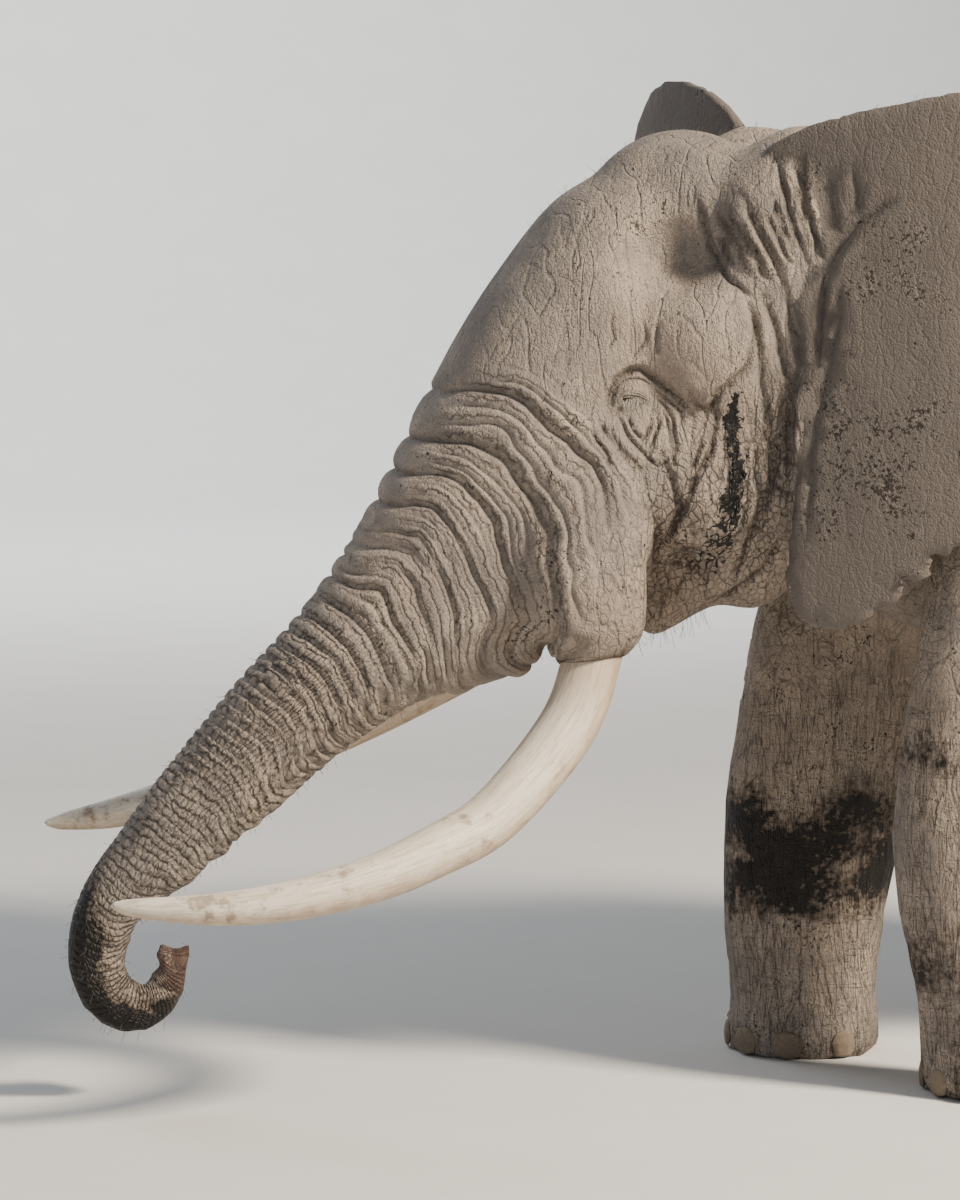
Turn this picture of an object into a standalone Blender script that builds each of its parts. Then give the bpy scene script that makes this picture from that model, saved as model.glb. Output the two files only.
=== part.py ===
"""African savanna elephant bull, life size, feeding with its head low.

Metres, +Z up.  The animal faces -X, its left side is towards -Y, and its soles
stand on Z = 0.  The flesh is modelled whole from lofted forms, fused, pressed into
shape and thinned, then parted by cuts of a third of a millimetre into the parts a
person would name.  Ears, jaw, tusks, nails and tail tuft are fitted against it.
"""

import math

import bmesh
import bpy
import numpy as np
from mathutils import Matrix, Vector
from mathutils.bvhtree import BVHTree

GAP = 0.0003                 # space left between two pieces that touch
FIT_GAP = 0.0005             # and round a piece that is let into the flesh
SNAP = 0.020                 # how far a vertex slides to meet a cut
SNAP_STEEP = 0.6             # and how nearly its normal may point along the cut's
ON_PLANE = 1e-5              # a vertex this near a cut counts as on it
SLIVER = 5e-5                # edges and faces narrower than this are closed up
VOXEL = 0.026                # grid on which the forms are fused
FUSE_SMOOTHING = 12          # rounds that soften the joins between the forms
FLESH_TRIANGLES = 4400       # what is left of the flesh after thinning
# How much the thinning takes at these X: less from the trunk and head, and the tail.
THINNING_AT = (0.75, 1.25, 3.70, 3.76)
THINNING = (0.45, 1.00, 1.00, 0.70)
RING_SIDES = 36              # points round a lofted form
STEPS_BETWEEN = 4            # rings put between two stations of a loft

LEFT = -1
RIGHT = 1
SIDES = {"left": LEFT, "right": RIGHT}

# Body: X, height of the back, height of the belly, half width.
TORSO = [
    (0.70, 2.54, 1.80, 0.32),
    (0.92, 2.66, 1.54, 0.39),
    (1.12, 2.75, 1.42, 0.44),
    (1.34, 2.84, 1.32, 0.50),
    (1.60, 2.97, 1.25, 0.59),
    (1.86, 3.08, 1.26, 0.67),
    (2.12, 3.08, 1.28, 0.74),
    (2.42, 3.02, 1.27, 0.78),
    (2.72, 3.00, 1.24, 0.78),
    (3.00, 3.04, 1.25, 0.71),
    (3.24, 2.99, 1.33, 0.60),
    (3.44, 2.85, 1.48, 0.47),
    (3.59, 2.65, 1.76, 0.33),
    (3.68, 2.46, 1.98, 0.18),
]
TORSO_POWER = 2.25

# Head and trunk: front X, Z, back X, Z, half width, from the crown to the tip.
FACE = [
    (0.420, 2.690, 0.800, 2.680, 0.160),
    (0.228, 2.598, 0.930, 2.560, 0.250),
    (0.034, 2.358, 0.960, 2.260, 0.310),
    (-0.118, 2.110, 0.900, 1.930, 0.330),
    (-0.218, 1.915, 0.720, 1.640, 0.305),
    (-0.305, 1.745, 0.430, 1.470, 0.278),
    (-0.400, 1.585, 0.130, 1.270, 0.250),
    (-0.532, 1.404, -0.190, 1.150, 0.215),
    (-0.708, 1.219, -0.424, 1.000, 0.188),
    (-0.855, 1.048, -0.602, 0.853, 0.167),
    (-0.972, 0.906, -0.750, 0.735, 0.148),
    (-1.066, 0.778, -0.868, 0.632, 0.130),
    (-1.155, 0.655, -0.985, 0.560, 0.112),
    (-1.212, 0.510, -1.038, 0.480, 0.098),
    (-1.212, 0.375, -1.048, 0.405, 0.088),
    (-1.150, 0.250, -1.030, 0.352, 0.080),
    (-1.035, 0.195, -0.990, 0.330, 0.074),
    (-0.925, 0.240, -0.962, 0.355, 0.066),
    (-0.868, 0.330, -0.958, 0.398, 0.058),
    (-0.860, 0.425, -0.952, 0.435, 0.050),
]
FACE_POWER = 2.35

# Legs: Z, X of the middle, half depth, half width, distance from the mid-plane.
FORE_LEG_LEFT = [
    (2.40, 1.80, 0.30, 0.13, 0.44),
    (1.95, 1.68, 0.36, 0.19, 0.44),
    (1.55, 1.55, 0.31, 0.205, 0.43),
    (1.25, 1.46, 0.270, 0.200, 0.41),
    (1.00, 1.40, 0.240, 0.185, 0.40),
    (0.74, 1.365, 0.220, 0.178, 0.39),
    (0.50, 1.375, 0.203, 0.172, 0.385),
    (0.30, 1.415, 0.195, 0.175, 0.385),
    (0.14, 1.465, 0.220, 0.205, 0.385),
    (0.02, 1.480, 0.232, 0.222, 0.385),
    (-0.05, 1.480, 0.232, 0.222, 0.385),
]
FORE_LEG_RIGHT = [
    (2.40, 1.66, 0.30, 0.13, 0.44),
    (1.95, 1.52, 0.36, 0.19, 0.44),
    (1.55, 1.35, 0.33, 0.205, 0.43),
    (1.28, 1.245, 0.305, 0.200, 0.42),
    (1.00, 1.175, 0.288, 0.188, 0.41),
    (0.74, 1.130, 0.280, 0.180, 0.40),
    (0.50, 1.110, 0.266, 0.176, 0.40),
    (0.30, 1.095, 0.238, 0.178, 0.40),
    (0.14, 1.095, 0.220, 0.205, 0.40),
    (0.02, 1.095, 0.232, 0.222, 0.40),
    (-0.05, 1.095, 0.232, 0.222, 0.40),
]
HIND_LEG_LEFT = [
    (2.62, 3.22, 0.26, 0.13, 0.34),
    (2.20, 3.18, 0.40, 0.22, 0.40),
    (1.75, 3.08, 0.385, 0.235, 0.43),
    (1.38, 2.98, 0.310, 0.210, 0.42),
    (1.10, 2.93, 0.243, 0.182, 0.40),
    (0.85, 2.96, 0.192, 0.162, 0.385),
    (0.62, 3.02, 0.170, 0.150, 0.375),
    (0.40, 3.055, 0.165, 0.150, 0.37),
    (0.18, 3.040, 0.190, 0.172, 0.37),
    (0.02, 3.020, 0.214, 0.188, 0.37),
    (-0.05, 3.020, 0.214, 0.188, 0.37),
]
HIND_LEG_RIGHT = [
    (2.62, 3.24, 0.26, 0.13, 0.34),
    (2.20, 3.22, 0.40, 0.22, 0.40),
    (1.75, 3.15, 0.385, 0.235, 0.43),
    (1.38, 3.09, 0.310, 0.210, 0.42),
    (1.10, 3.09, 0.243, 0.182, 0.40),
    (0.85, 3.17, 0.192, 0.162, 0.385),
    (0.62, 3.27, 0.170, 0.150, 0.375),
    (0.40, 3.325, 0.165, 0.150, 0.37),
    (0.18, 3.315, 0.190, 0.172, 0.37),
    (0.02, 3.300, 0.214, 0.188, 0.37),
    (-0.05, 3.300, 0.214, 0.188, 0.37),
]
LEG_POWER = 2.15
LEGS = {
    ("fore", "left"): FORE_LEG_LEFT,
    ("fore", "right"): FORE_LEG_RIGHT,
    ("hind", "left"): HIND_LEG_LEFT,
    ("hind", "right"): HIND_LEG_RIGHT,
}

# Tusk sheath, one side: X, Y, Z of the middle, half depth, half width.
SHEATH = [
    (0.330, 0.200, 2.030, 0.150, 0.100),
    (0.270, 0.235, 1.820, 0.185, 0.125),
    (0.255, 0.262, 1.600, 0.182, 0.138),
    (0.262, 0.282, 1.430, 0.168, 0.140),
    (0.270, 0.292, 1.340, 0.150, 0.130),
    (0.276, 0.298, 1.290, 0.118, 0.100),
]

# Lower jaw and throat: X, Z of the middle, half height, half width.
JAW = [
    (1.000, 1.900, 0.300, 0.280),
    (0.850, 1.780, 0.310, 0.285),
    (0.710, 1.670, 0.225, 0.250),
    (0.610, 1.550, 0.155, 0.185),
    (0.540, 1.440, 0.100, 0.110),
    (0.500, 1.365, 0.058, 0.062),
    (0.484, 1.330, 0.030, 0.034),
]
# X and Z of the prism that frees the jaw: below the lip, the corner of the mouth,
# under the ear, and below the throat.
JAW_BLOCK = [(0.440, 1.030), (0.482, 1.530), (1.050, 1.760), (1.050, 1.030)]
JAW_BLOCK_REACH = 0.6        # half its width

# Tail: X, Y, Z of the middle, half depth, half width.
TAIL = [
    (3.500, 0.000, 2.560, 0.110, 0.100),
    (3.680, 0.004, 2.420, 0.085, 0.078),
    (3.785, 0.012, 2.200, 0.062, 0.056),
    (3.835, 0.022, 1.900, 0.050, 0.044),
    (3.850, 0.034, 1.550, 0.045, 0.040),
    (3.850, 0.044, 1.250, 0.041, 0.037),
    (3.848, 0.050, 1.060, 0.038, 0.035),
]
TAIL_TUFT = [
    (3.848, 0.047, 1.150, 0.056, 0.050),
    (3.848, 0.050, 1.050, 0.072, 0.056),
    (3.850, 0.054, 0.900, 0.082, 0.050),
    (3.855, 0.058, 0.760, 0.060, 0.030),
    (3.860, 0.062, 0.660, 0.022, 0.014),
]

# Soft swellings: X, distance from the mid-plane, Z, then half sizes in X, Y and Z.
SWELLINGS = {
    "crown": (0.600, 0.000, 2.520, 0.300, 0.270, 0.285),
    "crown_side": (0.640, 0.120, 2.560, 0.230, 0.180, 0.225),
    "temporal": (0.640, 0.230, 2.190, 0.250, 0.200, 0.270),
    "brow": (0.335, 0.160, 2.270, 0.190, 0.165, 0.260),
    "ear_base": (0.900, 0.275, 2.480, 0.280, 0.190, 0.340),
    "neck_side": (0.900, 0.250, 2.020, 0.230, 0.180, 0.420),
    "cheek": (0.600, 0.220, 1.850, 0.260, 0.145, 0.270),
    "throat": (0.800, 0.000, 1.515, 0.120, 0.200, 0.125),
    "lip_fold": (0.060, 0.110, 1.300, 0.100, 0.085, 0.090),
    "trunk_fold": (-0.085, 0.090, 1.255, 0.095, 0.085, 0.090),
    "shoulder": (1.760, 0.400, 2.150, 0.340, 0.210, 0.480),
    "hip": (3.060, 0.330, 2.700, 0.330, 0.230, 0.240),
    "finger_back": (-0.858, 0.000, 0.455, 0.026, 0.034, 0.045),
    "finger_front": (-0.948, 0.000, 0.452, 0.022, 0.030, 0.036),
}

# Presses on the fused flesh: X, distance from the mid-plane, Z, reach in X, Y and Z,
# and how far the surface moves along its own normal, in for a minus.
PRESSES = {
    "temple_hollow": (0.500, 0.310, 2.440, 0.110, 0.140, 0.110, -0.060),
    "eye_hollow": (0.390, 0.360, 2.040, 0.090, 0.120, 0.075, -0.030),
    "ear_slit": (0.865, 0.430, 2.270, 0.050, 0.120, 0.130, -0.035),
    "under_cheek": (0.500, 0.300, 1.620, 0.060, 0.140, 0.150, -0.030),
    "flank_front": (2.700, 0.700, 1.500, 0.180, 0.250, 0.200, -0.040),
    "elbow_hollow": (1.980, 0.560, 1.480, 0.110, 0.220, 0.180, -0.050),
    "nostril_pit": (-0.905, 0.000, 0.450, 0.030, 0.036, 0.040, -0.025),
}

# Ear outline: distance back from the root, height above the floor.
EAR_RIM = [
    (-0.150, 2.750),
    (0.000, 2.820),
    (0.280, 2.880),
    (0.560, 2.920),
    (0.840, 2.880),
    (1.030, 2.710),
    (1.100, 2.440),
    (1.030, 2.150),
    (0.850, 1.920),
    (0.600, 1.735),
    (0.370, 1.580),
    (0.200, 1.430),
    (0.070, 1.374),
    (-0.040, 1.400),
    (-0.090, 1.530),
    (-0.055, 1.760),
    (-0.020, 1.990),
    (-0.150, 2.080),
]
EAR_HEART = (0.380, 2.220)   # the outline is seen whole from here
EAR_THICK = 0.026
EAR_REACH = 1.10             # how far the ear goes back from its root
EAR_RINGS = (0.55, 1.0)
EAR_ROOT = {"left": (0.885, 0.440), "right": (0.850, 0.420)}
EAR_HEADING = {"left": (36.0, 12.0), "right": (106.0, 80.0)}   # at the root and the rim
# Height added to the ear: at the root, for each metre back and its square.
EAR_LIFT = {"left": (0.0, 0.0, 0.0), "right": (0.050, 0.25, -0.62)}

# Tusk centre lines: X, distance from the mid-plane, Z, radius.
TUSK_LEFT = [
    (0.310, 0.262, 1.460, 0.080),
    (0.268, 0.285, 1.290, 0.086),
    (0.182, 0.332, 1.095, 0.086),
    (-0.048, 0.450, 0.872, 0.081),
    (-0.250, 0.545, 0.782, 0.075),
    (-0.450, 0.615, 0.718, 0.067),
    (-0.680, 0.665, 0.677, 0.057),
    (-0.890, 0.680, 0.662, 0.046),
    (-1.070, 0.665, 0.668, 0.031),
    (-1.160, 0.648, 0.675, 0.017),
]
TUSK_RIGHT = [
    (0.340, 0.262, 1.560, 0.080),
    (0.262, 0.290, 1.400, 0.083),
    (0.120, 0.378, 1.260, 0.082),
    (-0.120, 0.460, 1.115, 0.077),
    (-0.330, 0.545, 1.000, 0.073),
    (-0.560, 0.620, 0.890, 0.067),
    (-0.800, 0.668, 0.795, 0.058),
    (-0.990, 0.672, 0.748, 0.046),
    (-1.130, 0.650, 0.732, 0.029),
    (-1.190, 0.636, 0.730, 0.015),
]
TUSK_SIDES = 10

EYE_PLACE = (0.385, 0.60, 2.040)   # a point outside the head, level with the eye
EYE_RADIUS = 0.0195
EYE_SINK = 0.011             # from the skin to the middle of the eyeball

# Nails of a foot, in degrees from straight ahead, outward positive.
NAIL_TURNS = {"fore": (-62.0, -24.0, 14.0, 52.0), "hind": (-38.0, 0.0, 38.0)}
NAIL_HEIGHT = 0.050          # of its middle above the floor
NAIL_SIZE = (0.017, 0.052, 0.042)   # half depth, half width, half height

LEG_PAIR_DIVIDE = 2.3        # X between the fore and the hind legs
LEG_CUT = 1.130              # height of the cut under the belly
FOOT_CUT = 0.235             # and of the one above each foot

# Cuts along the body, from the tail forwards: name of what is cut off behind the
# plane, a point on the plane, and the plane's normal, pointing to the head.
BODY_CUTS = [
    ("hindquarters", (2.640, 0.0, 2.0), (-1.0, 0.0, 0.0)),
    ("belly", (2.020, 0.0, 2.0), (-1.0, 0.0, 0.05)),
    ("shoulders", (1.300, 0.0, 2.0), (-1.0, 0.0, 0.22)),
]
HEAD_CUT = ((0.905, 0.0, 2.1), (-1.0, 0.0, 0.10))
TAIL_CUT = ((3.722, 0.0, 2.335), (-1.0, 0.0, 0.0))
# Cuts across the trunk, from the head down: name of what stays above the plane.
TRUNK_CUTS = [
    ("head", (-0.160, 0.0, 1.538), (0.80, 0.0, 0.62)),
    ("trunk_base", (-0.366, 0.0, 1.276), (0.61, 0.0, 0.79)),
    ("trunk_upper", (-0.730, 0.0, 0.950), (0.62, 0.0, 0.78)),
    ("trunk_middle", (-0.965, 0.0, 0.704), (0.60, 0.0, 0.80)),
    ("trunk_lower", (-1.130, 0.0, 0.440), (-0.05, 0.0, 1.0)),
]

COLOURS = {
    "hide": ((0.262, 0.218, 0.178), 0.85),
    "ear_hide": ((0.205, 0.176, 0.150), 0.85),
    "ivory": ((0.800, 0.730, 0.600), 0.42),
    "nail": ((0.290, 0.240, 0.180), 0.55),
    "eye": ((0.030, 0.018, 0.010), 0.12),
    "hair": ((0.012, 0.011, 0.010), 0.55),
}


def clear_scene():
    """Removes whatever the open file holds."""
    for thing in list(bpy.data.objects):
        bpy.data.objects.remove(thing, do_unlink=True)


def make_material(name, colour, roughness):
    """Returns a plain surface of one colour and roughness."""
    material = bpy.data.materials.new(name)
    material.use_nodes = True
    shader = material.node_tree.nodes["Principled BSDF"]
    shader.inputs["Base Color"].default_value = (*colour, 1.0)
    shader.inputs["Roughness"].default_value = roughness
    shader.inputs["Metallic"].default_value = 0.0
    return material


def between(rows, steps):
    """Returns the rows with smooth ones put between them, on a Catmull-Rom curve."""
    rows = np.array(rows, float)
    ahead = np.vstack([2 * rows[0] - rows[1], rows, 2 * rows[-1] - rows[-2]])
    found = []
    for index in range(1, len(rows)):
        p0, p1, p2, p3 = ahead[index - 1:index + 3]
        for step in range(steps):
            t = step / steps
            found.append(0.5 * (
                2 * p1 + (p2 - p0) * t
                + (2 * p0 - 5 * p1 + 4 * p2 - p3) * t ** 2
                + (3 * p1 - p0 - 3 * p2 + p3) * t ** 3
            ))
    found.append(rows[-1])
    return np.array(found)


def ring(middle, first, second, power=2.0, sides=RING_SIDES):
    """Returns the points of a rounded section spanned by two half-axis vectors."""
    turn = np.linspace(0.0, 2 * math.pi, sides, endpoint=False)
    cos = np.sign(np.cos(turn)) * np.abs(np.cos(turn)) ** (2 / power)
    sin = np.sign(np.sin(turn)) * np.abs(np.sin(turn)) ** (2 / power)
    return np.array(middle) + np.outer(cos, first) + np.outer(sin, second)


def loft(rings):
    """Returns a closed mesh through rings of equal count, with its ends capped."""
    bm = bmesh.new()
    rows = [[bm.verts.new(point) for point in points] for points in rings]
    sides = len(rows[0])
    for low, high in zip(rows, rows[1:]):
        for side in range(sides):
            after = (side + 1) % sides
            bm.faces.new((low[side], low[after], high[after], high[side]))
    bm.faces.new(rows[0][::-1])
    bm.faces.new(rows[-1])
    return finished(bm)


def finished(bm):
    """Turns a bmesh into a mesh with no slivers, whose faces point outwards."""
    bmesh.ops.dissolve_degenerate(bm, dist=SLIVER, edges=bm.edges)
    bmesh.ops.recalc_face_normals(bm, faces=bm.faces)
    if bm.calc_volume(signed=True) < 0:
        bmesh.ops.reverse_faces(bm, faces=bm.faces)
    mesh = bpy.data.meshes.new("form")
    bm.to_mesh(mesh)
    bm.free()
    return mesh


def ellipsoid(centre, half_sizes, turn=None, segments=24):
    """Returns a closed ball stretched to the half sizes, turned and set at centre."""
    bm = bmesh.new()
    bmesh.ops.create_uvsphere(bm, u_segments=segments, v_segments=segments // 2, radius=1.0)
    place = Matrix.Translation(centre) @ (turn or Matrix.Identity(4))
    bm.transform(place @ Matrix.Diagonal((*half_sizes, 1.0)))
    return finished(bm)


def along_path(rows, sides=RING_SIDES, steps=STEPS_BETWEEN):
    """Lofts a limb whose rows hold X, Y, Z and half sizes across its path, in its plane
    and sideways."""
    rows = between(rows, steps)
    middles = rows[:, :3]
    ahead = np.gradient(middles, axis=0)
    rings = []
    for middle, along, depth, width in zip(middles, ahead, rows[:, 3], rows[:, 4]):
        along = along / np.linalg.norm(along)
        sideways = np.array((0.0, 1.0, 0.0))
        sideways = sideways - along * along.dot(sideways)
        sideways = sideways / np.linalg.norm(sideways)
        forward = np.cross(sideways, along)
        rings.append(ring(middle, forward * depth, sideways * width, sides=sides))
    return loft(rings)


def torso_form():
    """The barrel of the body with the neck, in upright sections along X."""
    rings = []
    for x, top, bottom, width in between(TORSO, STEPS_BETWEEN):
        half = (top - bottom) / 2
        rings.append(ring((x, 0, bottom + half), (0, 0, half), (0, width, 0), TORSO_POWER))
    return loft(rings)


def face_form():
    """The face running into the trunk, each section set by its front and its back."""
    rings = []
    for front_x, front_z, back_x, back_z, width in between(FACE, STEPS_BETWEEN):
        middle = ((front_x + back_x) / 2, 0.0, (front_z + back_z) / 2)
        forward = ((front_x - back_x) / 2, 0.0, (front_z - back_z) / 2)
        rings.append(ring(middle, forward, (0, width, 0), FACE_POWER))
    return loft(rings)


def leg_form(rows, side):
    """A leg in level sections, from inside the body to just below the floor."""
    rings = []
    for z, x, depth, width, out in between(rows, STEPS_BETWEEN):
        rings.append(ring((x, side * out, z), (depth, 0, 0), (0, width, 0), LEG_POWER))
    return loft(rings)


def sheath_form(side):
    """The swelling of the upper lip that holds a tusk."""
    rows = np.array(SHEATH)
    rows[:, 1] *= side
    return along_path(rows)


def swelling_forms():
    """The rounded masses of skull and muscle, those off the mid-plane on both sides."""
    forms = []
    for x, out, z, *half_sizes in SWELLINGS.values():
        for side in ((LEFT, RIGHT) if out else (RIGHT,)):
            forms.append(ellipsoid((x, side * out, z), half_sizes))
    return forms


def jaw_form():
    """The lower jaw with its pointed lip, in upright sections."""
    rings = []
    for x, z, half_height, half_width in between(JAW, STEPS_BETWEEN):
        rings.append(ring((x, 0, z), (0.35 * half_height, 0, -half_height), (0, half_width, 0)))
    return loft(rings)


def jaw_block(spare):
    """A prism whose front and top faces are the cuts that free the lower jaw."""
    rings = []
    for y in (-JAW_BLOCK_REACH, JAW_BLOCK_REACH):
        rings.append([(x - spare, y, z + spare) for x, z in JAW_BLOCK])
    return loft(rings)


def add_object(name, mesh, collection):
    """Makes an object of a mesh in a collection."""
    thing = bpy.data.objects.new(name, mesh)
    mesh.name = name
    collection.objects.link(thing)
    return thing


def joined(meshes):
    """Returns one mesh that holds all the given ones, and removes them."""
    bm = bmesh.new()
    for mesh in meshes:
        bm.from_mesh(mesh)
        bpy.data.meshes.remove(mesh)
    mesh = bpy.data.meshes.new("joined")
    bm.to_mesh(mesh)
    bm.free()
    return mesh


def evaluated(thing):
    """Returns the object's mesh as its modifiers leave it, and removes the object."""
    graph = bpy.context.evaluated_depsgraph_get()
    mesh = bpy.data.meshes.new_from_object(thing.evaluated_get(graph), depsgraph=graph)
    old = thing.data
    bpy.data.objects.remove(thing, do_unlink=True)
    bpy.data.meshes.remove(old)
    return mesh


def fused(meshes, workshop, voxel=VOXEL, smoothing=FUSE_SMOOTHING):
    """Returns one skin round all the forms, its joins softened."""
    thing = add_object("fusing", joined(meshes), workshop)
    remesh = thing.modifiers.new("fuse", "REMESH")
    remesh.mode = "VOXEL"
    remesh.voxel_size = voxel
    soften = thing.modifiers.new("soften", "SMOOTH")
    soften.factor = 0.5
    soften.iterations = smoothing
    return evaluated(thing)


def points_of(mesh):
    """Returns the mesh's vertices and their normals as arrays."""
    points = np.empty(len(mesh.vertices) * 3)
    normals = np.empty(len(mesh.vertices) * 3, np.float32)
    mesh.vertices.foreach_get("co", points)
    mesh.vertex_normals.foreach_get("vector", normals)
    return points.reshape(-1, 3), normals.reshape(-1, 3)


def press(mesh):
    """Moves the surface in or out at each of the presses, with a soft edge."""
    points, normals = points_of(mesh)
    move = np.zeros(len(points))
    for x, out, z, reach_x, reach_y, reach_z, depth in PRESSES.values():
        for side in ((LEFT, RIGHT) if out else (RIGHT,)):
            away = (points - (x, side * out, z)) / (reach_x, reach_y, reach_z)
            move += depth * np.exp(-(away ** 2).sum(axis=1))
    mesh.vertices.foreach_set("co", (points + normals * move[:, None]).ravel())
    mesh.update()


def thinned(mesh, triangles, workshop):
    """Returns the mesh with few triangles, kept denser on the head, trunk and tail."""
    thing = add_object("thinning", mesh, workshop)
    group = thing.vertex_groups.new(name="body")
    points, _ = points_of(mesh)
    share = np.interp(points[:, 0], THINNING_AT, THINNING)
    for index, weight in enumerate(share):
        group.add([index], float(weight), "REPLACE")
    count = sum(len(face.vertices) - 2 for face in mesh.polygons)
    thin = thing.modifiers.new("thin", "DECIMATE")
    thin.ratio = triangles / count
    thin.use_collapse_triangulate = True
    thin.vertex_group = group.name
    thin.vertex_group_factor = 1.0
    return evaluated(thing)


def snap_to_plane(mesh, point, normal):
    """Slides the vertices near a plane onto it, so that a cut there makes few slivers."""
    points, normals = points_of(mesh)
    away = (points - point) @ normal
    # Where the surface runs along the plane, sliding would fold it.
    near = (np.abs(away) < SNAP) & (np.abs(normals @ normal) < SNAP_STEEP)
    for face in mesh.polygons:
        corners = list(face.vertices)
        if near[corners].all():
            near[max(corners, key=lambda corner: abs(away[corner]))] = False
    points[near] -= np.outer(away[near], normal)
    mesh.vertices.foreach_set("co", points.ravel())
    mesh.update()


def cut_mesh(mesh, point, normal, keep_front):
    """Returns the part of a closed mesh on one side of a plane, closed again, with its
    new face half a gap behind the plane."""
    bm = bmesh.new()
    bm.from_mesh(mesh)
    bmesh.ops.bisect_plane(
        bm, geom=bm.verts[:] + bm.edges[:] + bm.faces[:], dist=ON_PLANE,
        plane_co=point, plane_no=normal,
        clear_inner=keep_front, clear_outer=not keep_front,
    )
    rim = [edge for edge in bm.edges if edge.is_boundary]
    back = normal * (GAP / 2 if keep_front else -GAP / 2)
    for vert in {vert for edge in rim for vert in edge.verts}:
        vert.co += back
    bmesh.ops.holes_fill(bm, edges=rim, sides=0)
    bmesh.ops.triangulate(bm, faces=[face for face in bm.faces if len(face.verts) > 3])
    return finished(bm)


def islands(mesh):
    """Returns the separate bodies of a mesh, each as its own mesh."""
    bm = bmesh.new()
    bm.from_mesh(mesh)
    left = set(bm.verts)
    found = []
    while left:
        front = [left.pop()]
        body = set(front)
        while front:
            for edge in front.pop().link_edges:
                for vert in edge.verts:
                    if vert not in body:
                        body.add(vert)
                        front.append(vert)
        left -= body
        found.append(body)
    meshes = []
    for body in found:
        single = bmesh.new()
        copies = {vert: single.verts.new(vert.co) for vert in body}
        for face in bm.faces:
            if face.verts[0] in body:
                single.faces.new([copies[vert] for vert in face.verts])
        meshes.append(finished(single))
    bm.free()
    return meshes


def middle_of(mesh):
    """Returns the middle of a mesh's box."""
    points, _ = points_of(mesh)
    return Vector((points.min(axis=0) + points.max(axis=0)) / 2)


def parted(mesh, point, normal):
    """Cuts a mesh by a plane and returns the bodies in front of it and behind it."""
    normal = Vector(normal).normalized()
    snap_to_plane(mesh, point, normal)
    front = cut_mesh(mesh, point, normal, True)
    back = cut_mesh(mesh, point, normal, False)
    return islands(front), islands(back)


def corner_name(mesh, kind):
    """Names a leg or foot by its place."""
    middle = middle_of(mesh)
    pair = "fore" if middle.x < LEG_PAIR_DIVIDE else "hind"
    side = "left" if middle.y < 0 else "right"
    return f"{pair}_{kind}_{side}"


def combined(mesh, cutter_mesh, operation, workshop):
    """Returns a mesh less another, or what the two have in common."""
    thing = add_object("trimmed", mesh, workshop)
    cutter = add_object("cutter", cutter_mesh, workshop)
    cutter.hide_render = True
    cutter.display_type = "WIRE"
    cut = thing.modifiers.new("trim", "BOOLEAN")
    cut.operation = operation
    cut.solver = "EXACT"
    cut.object = cutter
    found = evaluated(thing)
    bpy.data.objects.remove(cutter, do_unlink=True)
    bpy.data.meshes.remove(cutter_mesh)
    return found


def inflated(mesh, by):
    """Returns a copy of the mesh whose faces are all moved out by the same distance."""
    bm = bmesh.new()
    bm.from_mesh(mesh)
    bm.normal_update()
    moves = [vert.normal * vert.calc_shell_factor() * by for vert in bm.verts]
    for vert, move in zip(bm.verts, moves):
        vert.co += move
    return finished(bm)


def largest(meshes):
    """Returns the mesh with the largest box and removes the others."""
    def reach(mesh):
        points, _ = points_of(mesh)
        return np.ptp(points, axis=0).prod()
    meshes = sorted(meshes, key=reach)
    for mesh in meshes[:-1]:
        bpy.data.meshes.remove(mesh)
    return meshes[-1]


def fitted(mesh, carriers, workshop):
    """Trims a piece to the flesh that carries it, with a gap between them."""
    for carrier in carriers:
        mesh = combined(mesh, inflated(carrier, FIT_GAP), "DIFFERENCE", workshop)
    return largest(islands(mesh))


def surface_tree(mesh):
    """Returns a tree for finding points on a mesh."""
    bm = bmesh.new()
    bm.from_mesh(mesh)
    tree = BVHTree.FromBMesh(bm)
    bm.free()
    return tree


def ear_form(name, workshop):
    """One ear: a curved leaf of even thickness, swept back from its root."""
    side = SIDES[name]
    rim = between(EAR_RIM + EAR_RIM[:1], 2)[:-1]
    heart = np.array(EAR_HEART)
    start, end = (math.radians(turn) for turn in EAR_HEADING[name])
    root_x, root_out = EAR_ROOT[name]
    at_root, rise, bend = EAR_LIFT[name]

    def place(flat):
        back, height = flat
        share = back / EAR_REACH
        # The heading turns evenly with the way back, so the ear follows an arc.
        heading = start + (end - start) * share / 2
        x = root_x + back * math.cos(heading)
        out = root_out + back * math.sin(heading)
        lift = at_root + back * rise + back ** 2 * bend
        return (x, side * out, height + lift)

    bm = bmesh.new()
    hub = bm.verts.new(place(heart))
    rows = []
    for share in EAR_RINGS:
        rows.append([bm.verts.new(place(heart + share * (point - heart))) for point in rim])
    count = len(rim)
    for spot in range(count):
        after = (spot + 1) % count
        bm.faces.new((hub, rows[0][spot], rows[0][after]))
        for inner, outer in zip(rows, rows[1:]):
            bm.faces.new((inner[spot], outer[spot], outer[after], inner[after]))
    sheet = add_object("ear", finished(bm), workshop)
    leaf = sheet.modifiers.new("thickness", "SOLIDIFY")
    leaf.thickness = EAR_THICK
    leaf.offset = 0.0
    return evaluated(sheet)


def tusk_form(rows, side):
    """A tusk: a tapering round rod along its curve, closed by a blunt point."""
    rows = np.array([(x, side * out, z, radius, radius) for x, out, z, radius in rows])
    return along_path(rows, sides=TUSK_SIDES, steps=2)


def eyeballs(tree):
    """Returns each eyeball's middle, set in from where the head's side lies."""
    found = {}
    for name, side in SIDES.items():
        x, out, z = EYE_PLACE
        spot, normal, _, _ = tree.ray_cast(Vector((x, side * out, z)), Vector((0, -side, 0)))
        found[name] = spot - normal * EYE_SINK
    return found


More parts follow.
